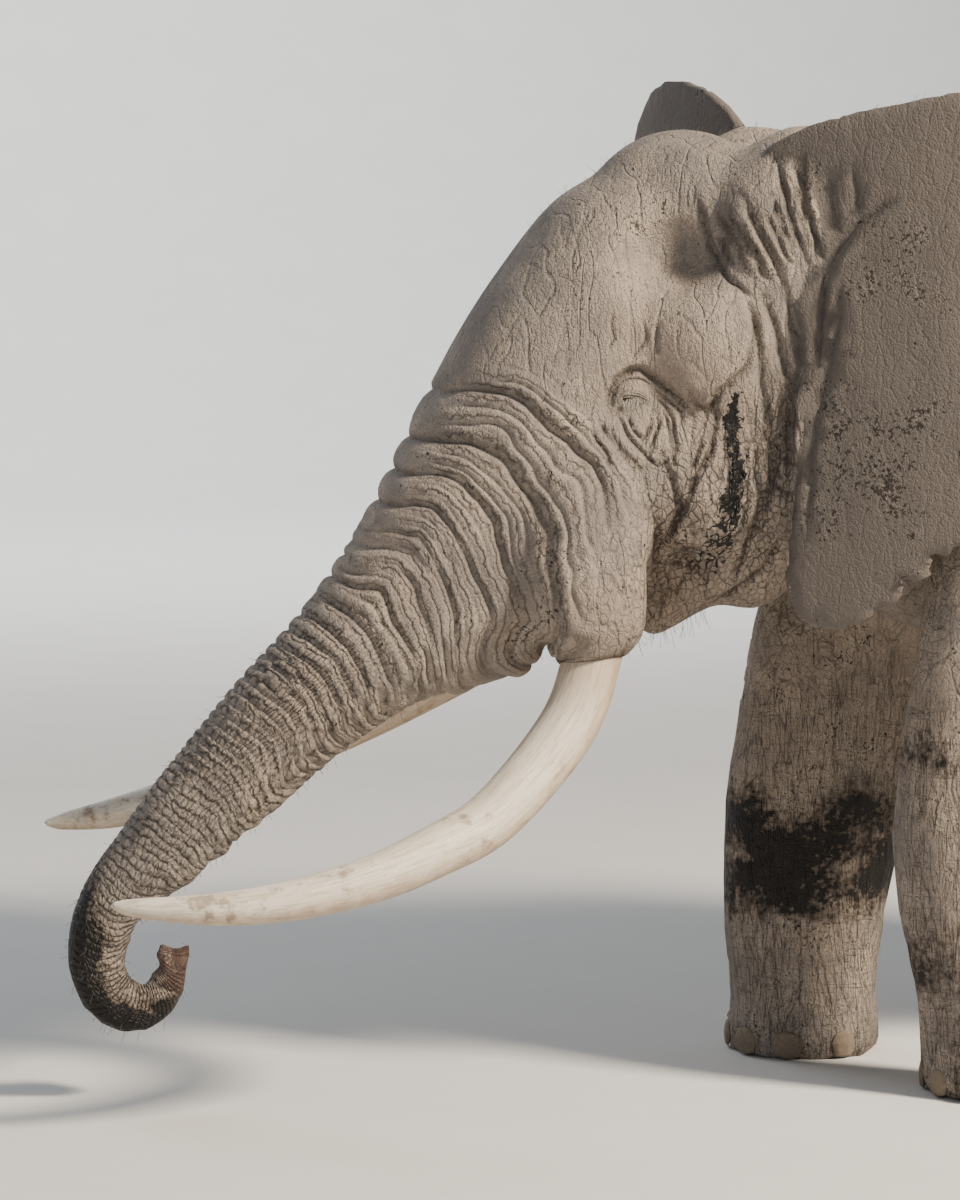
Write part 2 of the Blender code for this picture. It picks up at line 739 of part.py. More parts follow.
def nail_form(tree, foot, turn):
    """A toenail: a flattened ball set where the foot's side lies in that direction."""
    heading = Vector((-math.cos(turn), math.sin(turn), 0.0))
    spot, _, _, _ = tree.ray_cast(foot + heading, -heading)
    facing = Matrix.Rotation(math.atan2(heading.y, heading.x), 4, "Z")
    return ellipsoid(spot, NAIL_SIZE, facing, segments=8)


def foot_middle(rows, side):
    """Returns the middle of a foot at the height of its nails."""
    sole = rows[-1]
    return Vector((sole[1], side * sole[4], NAIL_HEIGHT))


def flesh_pieces(flesh, workshop):
    """Parts the flesh by its cuts and returns the pieces by name."""
    pieces = {}
    ahead, behind = parted(flesh, *HEAD_CUT)
    head = largest(ahead)
    jaw = combined(head.copy(), jaw_block(0.0), "INTERSECT", workshop)
    pieces["lower_jaw"] = largest(islands(jaw))
    head = largest(islands(combined(head, jaw_block(GAP), "DIFFERENCE", workshop)))
    ahead, behind = parted(largest(behind), *TAIL_CUT)
    pieces["tail"] = largest(behind)
    rest, legs = parted(largest(ahead), (0, 0, LEG_CUT), (0, 0, 1))
    for leg in legs:
        uppers, feet = parted(leg, (0, 0, FOOT_CUT), (0, 0, 1))
        for upper in uppers:
            pieces[corner_name(upper, "leg")] = upper
        for foot in feet:
            pieces[corner_name(foot, "foot")] = foot
    body = largest(rest)
    for name, point, normal in BODY_CUTS:
        ahead, behind = parted(body, point, normal)
        body = largest(ahead)
        pieces[name] = largest(behind)
    pieces["neck"] = body
    for name, point, normal in TRUNK_CUTS:
        above, below = parted(head, point, normal)
        pieces[name] = largest(above)
        head = largest(below)
    pieces["trunk_tip"] = head
    return pieces


def head_pieces(pieces, workshop):
    """Returns the ears and tusks, each trimmed to the parted flesh round its root."""
    found = {}
    head = [pieces[name] for name in ("head", "trunk_base", "lower_jaw")]
    behind_ear = [pieces[name] for name in ("neck", "shoulders")]
    for name, side in SIDES.items():
        found[f"ear_{name}"] = fitted(ear_form(name, workshop), head + behind_ear, workshop)
        rows = TUSK_LEFT if side == LEFT else TUSK_RIGHT
        found[f"tusk_{name}"] = fitted(tusk_form(rows, side), head, workshop)
    return found


def end_pieces(flesh, tree, workshop):
    """Returns the tail tuft and the nails, each trimmed to the whole flesh."""
    tuft = along_path(TAIL_TUFT, sides=8, steps=2)
    found = {"tail_tuft": fitted(tuft, [flesh], workshop)}
    for (pair, side_name), rows in LEGS.items():
        side = SIDES[side_name]
        middle = foot_middle(rows, side)
        for number, turn in enumerate(NAIL_TURNS[pair], 1):
            nail = nail_form(tree, middle, side * math.radians(turn))
            found[f"nail_{pair}_{side_name}_{number}"] = fitted(nail, [flesh], workshop)
    return found


def build():
    """Models the elephant, parts it and names each piece."""
    clear_scene()
    scene = bpy.context.scene.collection
    elephant = bpy.data.collections.new("elephant")
    workshop = bpy.data.collections.new("workshop")
    scene.children.link(elephant)
    scene.children.link(workshop)
    finishes = {name: make_material(name, *look) for name, look in COLOURS.items()}

    forms = [torso_form(), face_form(), jaw_form(), along_path(TAIL, sides=16)]
    forms += [leg_form(rows, SIDES[side]) for (_, side), rows in LEGS.items()]
    forms += [sheath_form(side) for side in SIDES.values()]
    forms += swelling_forms()
    flesh = fused(forms, workshop)
    press(flesh)
    flesh = thinned(flesh, FLESH_TRIANGLES, workshop)
    snap_to_plane(flesh, (0, 0, 0), (0, 0, 1))
    flesh = largest(islands(cut_mesh(flesh, (0, 0, 0), Vector((0, 0, 1)), True)))

    pieces = {}
    tree = surface_tree(flesh)
    for name, middle in eyeballs(tree).items():
        socket = ellipsoid(middle, (EYE_RADIUS + GAP,) * 3, segments=10)
        flesh = combined(flesh, socket, "DIFFERENCE", workshop)
        pieces[f"eye_{name}"] = ellipsoid(middle, (EYE_RADIUS,) * 3, segments=10)
    pieces.update(end_pieces(flesh, tree, workshop))
    pieces.update(flesh_pieces(flesh, workshop))
    pieces.update(head_pieces(pieces, workshop))

    for name, mesh in pieces.items():
        thing = add_object(name, mesh, elephant)
        thing.data.materials.append(finishes[finish_name(name)])
    bpy.data.collections.remove(workshop)
    centre_on_floor(elephant)


def finish_name(name):
    """Returns the finish that a piece of this name has."""
    kinds = {"eye": "eye", "tusk": "ivory", "nail": "nail", "ear": "ear_hide"}
    if name == "tail_tuft":
        return "hair"
    return kinds.get(name.split("_")[0], "hide")


def centre_on_floor(collection):
    """Moves every mesh so that the middle of the whole model's floor is the origin."""
    clouds = [points_of(thing.data)[0] for thing in collection.objects]
    cloud = np.vstack(clouds)
    low, high = cloud.min(axis=0), cloud.max(axis=0)
    shift = Matrix.Translation((-(low[0] + high[0]) / 2, -(low[1] + high[1]) / 2, -low[2]))
    for thing in collection.objects:
        thing.data.transform(shift)


build()
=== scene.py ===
"""Looks of a life-size African savanna elephant bull.

One skin runs over all the flesh, with its folds, rings and lids; eyes, tusks, nails and
hair are pieces of their own.  Lengths are metres.  The animal's own axes are used for
its shapes: X back from the brow, Y out from the mid-plane, Z up from the floor.
"""

import logging
import math
from dataclasses import dataclass, field, replace
from enum import Enum
from functools import cached_property, partial
from typing import Any, Callable, ClassVar, Sequence

import bmesh
import bpy
import numpy as np
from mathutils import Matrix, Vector
from mathutils.bvhtree import BVHTree
from mathutils.kdtree import KDTree


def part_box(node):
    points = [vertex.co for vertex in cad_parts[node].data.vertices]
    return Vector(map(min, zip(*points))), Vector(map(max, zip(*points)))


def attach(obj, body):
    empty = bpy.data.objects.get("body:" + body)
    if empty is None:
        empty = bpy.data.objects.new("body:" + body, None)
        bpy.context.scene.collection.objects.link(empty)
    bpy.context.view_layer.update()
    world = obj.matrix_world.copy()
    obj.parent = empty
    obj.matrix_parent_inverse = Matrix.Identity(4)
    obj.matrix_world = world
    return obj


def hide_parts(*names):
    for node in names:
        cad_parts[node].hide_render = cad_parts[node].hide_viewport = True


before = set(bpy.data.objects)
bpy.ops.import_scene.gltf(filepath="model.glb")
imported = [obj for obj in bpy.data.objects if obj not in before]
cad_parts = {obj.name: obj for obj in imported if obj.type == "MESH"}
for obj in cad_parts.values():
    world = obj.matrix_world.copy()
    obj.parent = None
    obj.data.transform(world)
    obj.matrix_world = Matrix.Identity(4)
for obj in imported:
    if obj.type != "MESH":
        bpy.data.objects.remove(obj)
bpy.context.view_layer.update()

NODES: dict[str, bpy.types.Object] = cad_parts
LOG = logging.getLogger("elephant")

BODY = "root"
BAKE_MAP = "OFBake"
SIDES = {"left": -1.0, "right": 1.0}
NAIL_NAMES = [
    f"nail_{pair}_{side}_{at + 1}"
    for pair, count in (("fore", 4), ("hind", 3)) for side in SIDES for at in range(count)
]
SOFT = {"interpolation_type": "SMOOTHSTEP"}
COLOURS = {"data_type": "RGBA"}
Adder = Callable[..., Any]
Rows = np.ndarray
Mesh = bpy.types.Mesh
Thing = bpy.types.Object


class Slot(Enum):
    """The material slots that the pieces go in."""

    HIDE = "hide"
    IVORY = "ivory"
    NAIL = "nail"
    EYE = "eye"
    HAIR = "hair"


# ---------------- small helpers


def from_hex(code: str) -> tuple[float, float, float, float]:
    """Turns an sRGB hex colour into linear light.

    Args:
        code: six hex digits.

    Returns:
        Linear red, green and blue, and a full alpha.
    """
    parts = [int(code[at:at + 2], 16) / 255 for at in (0, 2, 4)]
    linear = [c / 12.92 if c <= 0.04045 else ((c + 0.055) / 1.055) ** 2.4 for c in parts]
    return (linear[0], linear[1], linear[2], 1.0)


def feed(tree: bpy.types.NodeTree, sockets: Any, inputs: dict[Any, Any] | Sequence[Any]) -> None:
    """Sets or wires input sockets.

    Args:
        tree: the tree they are in.
        sockets: the node's inputs.
        inputs: values, or the output sockets that feed them, in order or by name or index.
    """
    for key, value in inputs.items() if isinstance(inputs, dict) else enumerate(inputs):
        if isinstance(value, bpy.types.NodeSocket):
            tree.links.new(value, sockets[key])
        else:
            sockets[key].default_value = value


def add_node(tree: bpy.types.NodeTree, kind: str, inputs: dict[Any, Any] | Sequence[Any] = (),
             out: int | str = 0, **settings: Any) -> Any:
    """Adds a node, sets it up and wires it.

    Args:
        tree: the tree the node goes in.
        kind: the node's type name, which may leave out ShaderNode.
        inputs: what its inputs get, in order or by name or index.
        out: the name or index of the output that is wanted.
        settings: attributes set on the node itself.

    Returns:
        That output, or nothing where the node has none.
    """
    made = tree.nodes.new(kind if "Node" in kind else f"ShaderNode{kind}")
    for name, value in settings.items():
        setattr(made, name, value)
    feed(tree, made.inputs, inputs)
    return made.outputs[out] if made.outputs else None


def read(items: Any, key: str, wide: int = 1, kind: type = np.float32) -> Rows:
    """Reads one property of all of a mesh's items.

    Args:
        items: such as the mesh's vertices.
        key: the property.
        wide: how many numbers each item has.
        kind: the type of number.

    Returns:
        The numbers, as rows where an item has more than one.
    """
    flat = np.empty(len(items) * wide, kind)
    items.foreach_get(key, flat)
    return flat.reshape(-1, wide) if wide > 1 else flat


def points_of(mesh: Mesh) -> Rows:
    """Returns a mesh's vertices as an array of rows."""
    return read(mesh.vertices, "co", 3).astype(float)


def normals_of(mesh: Mesh) -> Rows:
    """Returns a mesh's vertex normals as an array of rows."""
    return read(mesh.vertex_normals, "vector", 3).astype(float)


def set_points(mesh: Mesh, points: Rows) -> None:
    """Puts a mesh's vertices where the rows say."""
    mesh.vertices.foreach_set("co", points.astype(np.float32).ravel())
    mesh.update()


def store(mesh: Mesh, values: dict[str, Rows]) -> None:
    """Stores numbers or directions on a mesh's points.

    Args:
        mesh: the mesh.
        values: the name of each set, and its numbers or rows of three.
    """
    for name, rows in values.items():
        kind, key = ("FLOAT", "value") if rows.ndim == 1 else ("FLOAT_VECTOR", "vector")
        stored = mesh.attributes.new(name, kind, "POINT")
        stored.data.foreach_set(key, rows.astype(np.float32).ravel())


def lay_flat(mesh: Mesh, flat: Rows) -> None:
    """Gives a mesh its UV map, from U and V of every corner."""
    layer = mesh.uv_layers.new(name=BAKE_MAP)
    layer.uv.foreach_set("vector", flat.astype(np.float32).ravel())


def lengths_along(line: Rows) -> Rows:
    """Returns how far along a line each of its points lies."""
    return np.concatenate([[0.0], np.cumsum(np.linalg.norm(np.diff(line, axis=0), axis=1))])


def unit(rows: Rows) -> Rows:
    """Returns rows scaled to a length of one."""
    return rows / np.linalg.norm(rows, axis=1)[:, None]


def finder(points: Rows) -> KDTree:
    """Makes a tree that finds the nearest of some points.

    Args:
        points: one row each.

    Returns:
        The tree.
    """
    tree = KDTree(len(points))
    for number, point in enumerate(points):
        tree.insert(point, number)
    tree.balance()
    return tree


def add_object(name: str, data: Any) -> Thing:
    """Makes an object of a mesh, a lamp or a camera and links it to the scene."""
    thing = bpy.data.objects.new(name, data)
    bpy.context.scene.collection.objects.link(thing)
    return thing


def mesh_from(points: Rows, faces: Sequence[Sequence[int]], name: str) -> Mesh:
    """Makes a mesh with its faces pointing out.

    Args:
        points: one row for each vertex.
        faces: the vertex numbers of each face.
        name: the mesh's name.

    Returns:
        The mesh.
    """
    mesh = bpy.data.meshes.new(name)
    mesh.from_pydata([tuple(map(float, point)) for point in points], [], faces)
    built = bmesh.new()
    built.from_mesh(mesh)
    bmesh.ops.recalc_face_normals(built, faces=built.faces)
    if built.calc_volume(signed=True) < 0:
        bmesh.ops.reverse_faces(built, faces=built.faces)
    built.to_mesh(mesh)
    built.free()
    return mesh


def tube_faces(rings: int, sides: int) -> list[tuple[int, ...]]:
    """Lists the faces of a tube whose ends close on a point each.

    Args:
        rings: how many rings of points it has.
        sides: how many points are in each.  The two end points come after them all.

    Returns:
        The vertex numbers of each face.
    """
    pairs = [(a, (a + 1) % sides) for a in range(sides)]
    starts = range(0, (rings - 1) * sides, sides)
    faces = [(at + a, at + b, at + sides + b, at + sides + a) for at in starts for a, b in pairs]
    first, last = rings * sides, (rings - 1) * sides
    for a, b in pairs:
        faces += [(b, a, first), (last + a, last + b, first + 1)]
    return faces


def applied(thing: Thing) -> Mesh:
    """Turns what an object's modifiers make into its own plain mesh.

    Args:
        thing: the object, whose modifiers are removed.

    Returns:
        The new mesh.
    """
    graph = bpy.context.evaluated_depsgraph_get()
    mesh = bpy.data.meshes.new_from_object(thing.evaluated_get(graph), depsgraph=graph)
    old = thing.data
    thing.modifiers.clear()
    thing.vertex_groups.clear()
    thing.data = mesh
    bpy.data.meshes.remove(old)
    return mesh


def add_modifier(thing: Thing, name: str, kind: str, **settings: Any) -> Any:
    """Adds a modifier and sets it up.

    Args:
        thing: the object.
        name: the modifier's name.
        kind: its type.
        settings: attributes set on it.

    Returns:
        The modifier.
    """
    made = thing.modifiers.new(name, kind)
    for key, value in settings.items():
        setattr(made, key, value)
    return made


def curve_through(rows: Sequence[Sequence[float]], steps: int) -> Rows:
    """Puts smooth rows between the given ones, on a Catmull-Rom curve.

    Args:
        rows: the rows to pass through.
        steps: how many stretches each gap is parted into.

    Returns:
        All the rows.
    """
    given = np.array(rows, float)
    ahead = np.vstack([2 * given[0] - given[1], given, 2 * given[-1] - given[-2]])
    found = []
    for at in range(1, len(given)):
        p0, p1, p2, p3 = ahead[at - 1:at + 3]
        for step in range(steps):
            t = step / steps
            found.append(0.5 * (
                2 * p1 + (p2 - p0) * t
                + (2 * p0 - 5 * p1 + 4 * p2 - p3) * t ** 2
                + (3 * p1 - p0 - 3 * p2 + p3) * t ** 3
            ))
    found.append(given[-1])
    return np.array(found)


def ramp(values: Rows, low: float, high: float) -> Rows:
    """Returns 0 below low, 1 above high, and a soft rise between."""
    share = np.clip((values - low) / (high - low), 0.0, 1.0)
    return share * share * (3 - 2 * share)


def lattice(cells: Rows, seed: int) -> Rows:
    """Gives each cell of a grid its own fixed number.

    Args:
        cells: the whole numbers of each.
        seed: which set of numbers.

    Returns:
        The numbers, from 0 to 1.
    """
    mixed = (cells[:, 0] * 374761393 + cells[:, 1] * 668265263
             + cells[:, 2] * 2147483647 + seed * 1274126177) & 0xFFFFFFFF
    mixed = ((mixed ^ (mixed >> 13)) * 1274126177) & 0xFFFFFFFF
    return ((mixed ^ (mixed >> 16)) & 0xFFFFFF) / 0xFFFFFF


def noise(points: Rows, size: float | Sequence[float], seed: int) -> Rows:
    """Smooth noise from -1 to 1.

    Args:
        points: where to read it, one row each.
        size: how wide its lumps are, the same or one for each axis.
        seed: which noise.

    Returns:
        One value for each row.
    """
    scaled = points / np.array(size)
    floor = np.floor(scaled)
    part = scaled - floor
    part = part * part * (3 - 2 * part)
    cells = floor.astype(np.int64)
    total = np.zeros(len(points))
    for corner in range(8):
        step = np.array([corner & 1, corner >> 1 & 1, corner >> 2 & 1])
        weight = np.prod(np.where(step, part, 1 - part), axis=1)
        total += weight * lattice(cells + step, seed)
    return total * 2 - 1


# ---------------- the animal's place


@dataclass
class Place:
    """Where the animal's own axes lie in the frame, found from its eyes."""

    eye_x: float = 0.385     # how far back from the brow the eyes are
    shift: Rows = field(init=False)
    eyes: dict[str, Rows] = field(init=False)

    def __post_init__(self) -> None:
        """Reads the eyes' middles and sets the shift."""
        self.eyes = {}
        for name in SIDES:
            low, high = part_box(f"eye_{name}")
            self.eyes[name] = np.array((low + high) / 2)
        middle = (self.eyes["left"] + self.eyes["right"]) / 2
        self.shift = np.array([middle[0] - self.eye_x, middle[1], 0.0])

    def inward(self, points: Rows) -> Rows:
        """Returns frame points in the animal's axes."""
        return points - self.shift

    def outward(self, points: Rows) -> Rows:
        """Returns points in the animal's axes as frame points."""
        return np.asarray(points, float) + self.shift

    def near_eyes(self, points: Rows, reach: float) -> Rows:
        """Says which points in the animal's axes lie within reach of an eye."""
        eyes = [self.inward(eye) for eye in self.eyes.values()]
        return np.any([np.linalg.norm(points - eye, axis=1) < reach for eye in eyes], axis=0)


# ---------------- finishes


@dataclass(frozen=True)
class Finish:
    """A named surface; each kind below says what its shader gets."""

    name: str

    def make(self) -> bpy.types.Material:
        """Builds the material."""
        material = bpy.data.materials.new(self.name)
        material.use_nodes = True
        tree = material.node_tree
        feed(tree, tree.nodes["Principled BSDF"].inputs, self.wire(partial(add_node, tree)))
        return material

    def layers(self, add: Adder, tone: Any, *parts: tuple[str, Any]) -> Any:
        """Lays colours over one another.

        Args:
            add: adds a node to the material's tree.
            tone: the lowest colour.
            parts: each colour over it, with the share of it that shows.

        Returns:
            The mixed colour.
        """
        for colour, share in parts:
            tone = add("Mix", {0: share, 6: tone, 7: from_hex(colour)}, 2, **COLOURS)
        return tone


@dataclass(frozen=True)
class Hide(Finish):
    """Dry elephant hide.

    It is matt and hard, cracked into small plates by a net of creases, pebbled on the
    brow, ringed on the trunk, with pale dust on what stands out, painted shade in what
    lies deep, wet mud that is nearly black, and a darker grey on the ears that is
    painted shade.  Heights are metres.
    """

    name: str = "dusty_elephant_hide"
    warm: str = "8E8073"
    cool: str = "7B736C"
    dust: str = "A99B8B"
    # painted shade for cracks, grooves and creases, also the dark ring round each tusk and the tear
    # stain at each eye
    dirt: str = "3A332D"
    # painted shade: the ears' darker grey stands in for the shade they lie in
    ear: str = "5A534D"
    mud: str = "1A1613"
    damp: str = "3B322B"
    tar: str = "0C0A09"
    pink: str = "755A4D"
    pebble: float = 0.0055      # a pebble's width
    bead: float = 0.026         # a bead's width round the trunk

    def total(self, add: Adder, *parts: tuple[Any, Any]) -> Any:
        """Adds up values, each times its own weight.

        Args:
            add: adds a node to the material's tree.
            parts: each value and its weight.

        Returns:
            The sum.
        """
        found: Any = 0.0
        for value, weight in parts:
            found = add("Math", (value, weight, found), operation="MULTIPLY_ADD")
        return found

    def plates(self, add: Adder, place: Any, size: Sequence[float], crack: float) -> Any:
        """Draws the net of cracks between plates of hide.

        Args:
            add: adds a node to the material's tree.
            place: the coordinates it is read at.
            size: a plate's size along X, Y and Z, in metres.
            crack: a crack's share of a plate.

        Returns:
            0 in a crack, 1 on a plate.
        """
        scaled = add("Mapping", {"Vector": place, "Scale": tuple(1 / length for length in size)})
        edge = add("TexVoronoi", {"Vector": scaled, "Scale": 1.0}, feature="DISTANCE_TO_EDGE")
        return add("MapRange", (edge, 0.0, crack * 2.2), interpolation_type="SMOOTHERSTEP")

    def lines(self, add: Adder, place: Any, size: Sequence[float], slant: float,
              thin: float) -> Any:
        """Draws thin lines drawn out along one way.

        Args:
            add: adds a node to the material's tree.
            place: the coordinates they are read at.
            size: how far apart and how long they are along X, Y and Z, in metres.
            slant: how far they lean, in radians.
            thin: a line's share of the way to the next.

        Returns:
            1 on a line, 0 off it.
        """
        turned = add("Mapping", {
            "Vector": place, "Rotation": (0.0, slant, 0.0),
            "Scale": tuple(1 / length for length in size),
        })
        wavy = add("TexNoise", {"Vector": turned, "Scale": 1.0, "Detail": 1.0, "Distortion": 0.35})
        away = add("Math", (wavy, 0.5), operation="SUBTRACT")
        gap = add("Math", (away,), operation="ABSOLUTE")
        return add("MapRange", (gap, 0.0, thin, 1.0, 0.0), **SOFT)

    def rings(self, add: Adder, waver: Any, row: Any, around: Any) -> tuple[Any, Any]:
        """Draws the rings of the trunk and the beads that part each of them.

        Args:
            add: adds a node to the material's tree.
            waver: noise that bends them.
            row: the number of the ring at each place.
            around: how far round the trunk the place lies.

        Returns:
            0 in a groove and 1 on a roll; 0 between beads and 1 on them.
        """
        stray = self.total(add, (waver, 0.9), (row, 1.0))
        twice = add("Math", (stray, 2.0), operation="MULTIPLY")
        saw = add("Math", (twice, 1.0), operation="PINGPONG")
        apart = add("Math", (1.0, saw), operation="SUBTRACT")
        cubed = add("Math", (apart, 3.0), operation="POWER")
        roll = add("Math", (1.0, cubed), operation="SUBTRACT")
        spun = add("Math", (around, 1 / self.bead), operation="MULTIPLY")
        edge = add("TexVoronoi", {
            "Vector": add("CombineXYZ", (stray, spun)), "Scale": 1.0, "Randomness": 0.85,
        }, feature="DISTANCE_TO_EDGE", voronoi_dimensions="2D")
        return roll, add("MapRange", (edge, 0.0, 0.28, 0.0, 1.0), **SOFT)

    def wire(self, add: Adder) -> dict[str, Any]:
        """Wires the hide.

        Args:
            add: adds a node to the material's tree.

        Returns:
            What each socket of its shader gets.
        """
        total = partial(self.total, add)
        place = add("TexCoord", out="Object")
        row, around, ringed, fine, crease, ear, brow, leg, jaw, gland, vein, spot, wet, tip = (
            add("Attribute", out="Fac", attribute_name=name) for name in (
                "row", "around", "ringed", "fine", "crease", "ear", "brow", "leg", "jaw",
                "gland", "vein", "spot", "wet", "tip",
            )
        )
        # Each noise: the width of its lumps in metres, and how finely they are broken up.
        shake, waver, grain, patch, wide, flecks, ragged = (
            add("TexNoise", {
                "Vector": place, "Scale": 1 / size, "Detail": detail, "Roughness": 0.6,
            }, out)
            for size, detail, out in (
                (0.05, 2.0, "Color"), (0.03, 2.0, "Fac"), (0.0030, 2.0, "Fac"),
                (0.16, 3.0, "Fac"), (0.55, 2.0, "Fac"), (0.011, 4.0, "Fac"),
                (0.022, 4.0, "Fac"),
            )
        )
        sway = add("VectorMath", (shake, (0.5,) * 3), operation="SUBTRACT")
        swayed = add("VectorMath", (sway, (0.022,) * 3, place), operation="MULTIPLY_ADD")
        streak, streak_fine, cross, wrinkle, branch = (
            self.lines(add, place, *shape) for shape in (
                ((0.024, 0.024, 0.16), 0.34, 0.045), ((0.012, 0.012, 0.070), 0.10, 0.055),
                ((0.16, 0.16, 0.030), 0.06, 0.030), ((0.075, 0.10, 0.30), 0.25, 0.040),
                ((0.034, 0.034, 0.070), 0.40, 0.170),
            )
        )
        large, middle, small = (
            self.plates(add, swayed, size, crack) for size, crack in (
                ((0.052, 0.075, 0.115), 0.055), ((0.019, 0.024, 0.030), 0.08),
                ((0.0085, 0.0085, 0.0100), 0.14),
            )
        )
        pebble = add("TexVoronoi", {
            "Vector": place, "Scale": 1 / self.pebble, "Smoothness": 0.4,
        }, feature="SMOOTH_F1")
        roll, bead = self.rings(add, waver, row, around)

        # How much of each place is trunk, open hide, flank, cheek, limb or body.
        rolled, beaded, bare = (
            add("Math", pair, operation="MULTIPLY") for pair in (
                (ringed, fine),
                (ringed, add("MapRange", (row, 12.0, 30.0, 0.30, 1.0), **SOFT)),
                (add("Math", (1.0, ringed), operation="SUBTRACT"),
                 add("MapRange", (ear, 0.0, 1.0, 1.0, 0.30), **SOFT)),
            )
        )
        smoother = add("MapRange", (brow, 0.0, 1.0, 1.0, 0.35), **SOFT)
        flank = add("Math", (bare, smoother), operation="MULTIPLY")
        cheek = add("Math", (flank, jaw), operation="MULTIPLY")
        limb = add("Math", (flank, leg), operation="MULTIPLY")
        calm = total((flank, 1.0), (ear, -0.30), (cheek, -1.0))
        upper = add("MapRange", (leg, 0.0, 1.0, 1.0, 0.35), **SOFT)
        body = add("Math", (flank, upper), operation="MULTIPLY")
        height = total(
            (total((large, 0.0026), (middle, 0.0016)), body),
            (total((middle, 0.0006), (small, 0.0009)), bare),
            (total((roll, 0.0050)), rolled),
            (total((small, 0.0007), (middle, 0.0008)), ringed),
            (total((bead, 0.0034)), beaded),
            (total((large, 0.0010), (middle, 0.0018)), cheek),
            (total((streak, -0.0040), (streak_fine, -0.0026), (cross, -0.0018)), limb),
            (wrinkle, total((calm, -0.0050))),
            (total((streak_fine, -0.0014), (wrinkle, -0.0020)), brow),
            (pebble, -0.0014), (grain, 0.0007), (crease, -0.0030),
        )
        high = total((patch, 0.9), (pebble, -0.35), (grain, 0.35))
        high = total((ear, -0.22), (high, 1.0))
        # net is high in cracks, in the grooves between rings and beads, in wrinkles and in creases:
        # painted shade in the hollows of the hide
        net = total(
            (total((large, -0.16), (middle, -0.16), (0.32, 1.0)), body),
            (total((small, -0.18), (0.18, 1.0)), bare),
            (total((roll, -0.55), (0.55, 1.0)), rolled),
            (total((bead, -0.42), (0.42, 1.0)), beaded),
            (total((large, -0.13), (middle, -0.20), (0.33, 1.0)), cheek),
            (total((streak, 0.28), (streak_fine, 0.20), (cross, 0.10)), limb),
            (wrinkle, total((calm, 0.12))),
            (crease, 0.46),
        )
        speck = total((flecks, 1.0), (patch, 0.75), (spot, 0.09))
        muddy = total((wet, 1.0), (ragged, 1.10), (grain, 0.10))
        run = total((gland, 0.60), (ragged, 1.60), (patch, 0.15))
        twigs = total(
            (total((branch, 0.80), (middle, -0.30), (0.10, 1.0)), vein), (ragged, 1.10),
        )
        stained = total((gland, 0.9), (vein, 0.45), (ragged, 0.5))
        # Each share of a colour: what it is read from, where it starts and ends, its most.
        warm, ear_shade, dusty, grime_and_shade_share, specked, damp, black, stain, tarry_run, tarry_twigs = (
            add("MapRange", (value, low, top, 0.0, most), **SOFT)
            for value, low, top, most in (
                (wide, 0.30, 0.72, 1.0), (ear, 0.2, 0.9, 0.85), (high, 0.36, 0.66, 0.75),
                (net, 0.02, 0.95, 0.92), (speck, 1.06, 1.09, 0.8), (muddy, 0.85, 1.25, 0.8),
                (muddy, 1.20, 1.26, 1.0), (stained, 0.50, 1.15, 0.65), (run, 1.16, 1.22, 1.0),
                (twigs, 0.90, 1.00, 1.0),
            )
        )
        tarry = add("Math", (tarry_run, tarry_twigs), operation="MAXIMUM")
        # The ear colour laid on here is painted shade.
        tone = self.layers(
            add, from_hex(self.cool), (self.warm, warm), (self.ear, ear_shade), (self.dust, dusty),
            (self.dirt, grime_and_shade_share), (self.mud, specked), (self.damp, damp), (self.mud, black),
            (self.damp, stain), (self.tar, tarry), (self.pink, total((tip, total((ragged, 0.9))))),
        )
        return {
            "Base Color": tone,
            "Normal": add("Bump", {"Height": height, "Distance": 1.0}),
            "Roughness": total((black, -0.30), (tarry, -0.38), (grain, 0.12), (0.84, 1.0)),
            "Specular IOR Level": 0.35,
        }


@dataclass(frozen=True)
class Plain(Finish):
    """A surface of two colours mixed by fine grain."""

    light: str = "FFFFFF"
    dark: str = "000000"
    roughness: float = 0.5
    grain: float = 0.004
    bump: float = 0.0004

    def wire(self, add: Adder) -> dict[str, Any]:
        """Wires the grain.

        Args:
            add: adds a node to the material's tree.

        Returns:
            What each socket of its shader gets.
        """
        grain = add("TexNoise", {
            "Vector": add("TexCoord", out="Object"), "Scale": 1 / self.grain, "Detail": 3.0,
            "Roughness": 0.6,
        })
        return {
            "Base Color": self.layers(add, from_hex(self.dark), (self.light, grain)),
            "Normal": add("Bump", {"Height": grain, "Distance": self.bump, "Strength": 1.0}),
            "Roughness": self.roughness,
        }


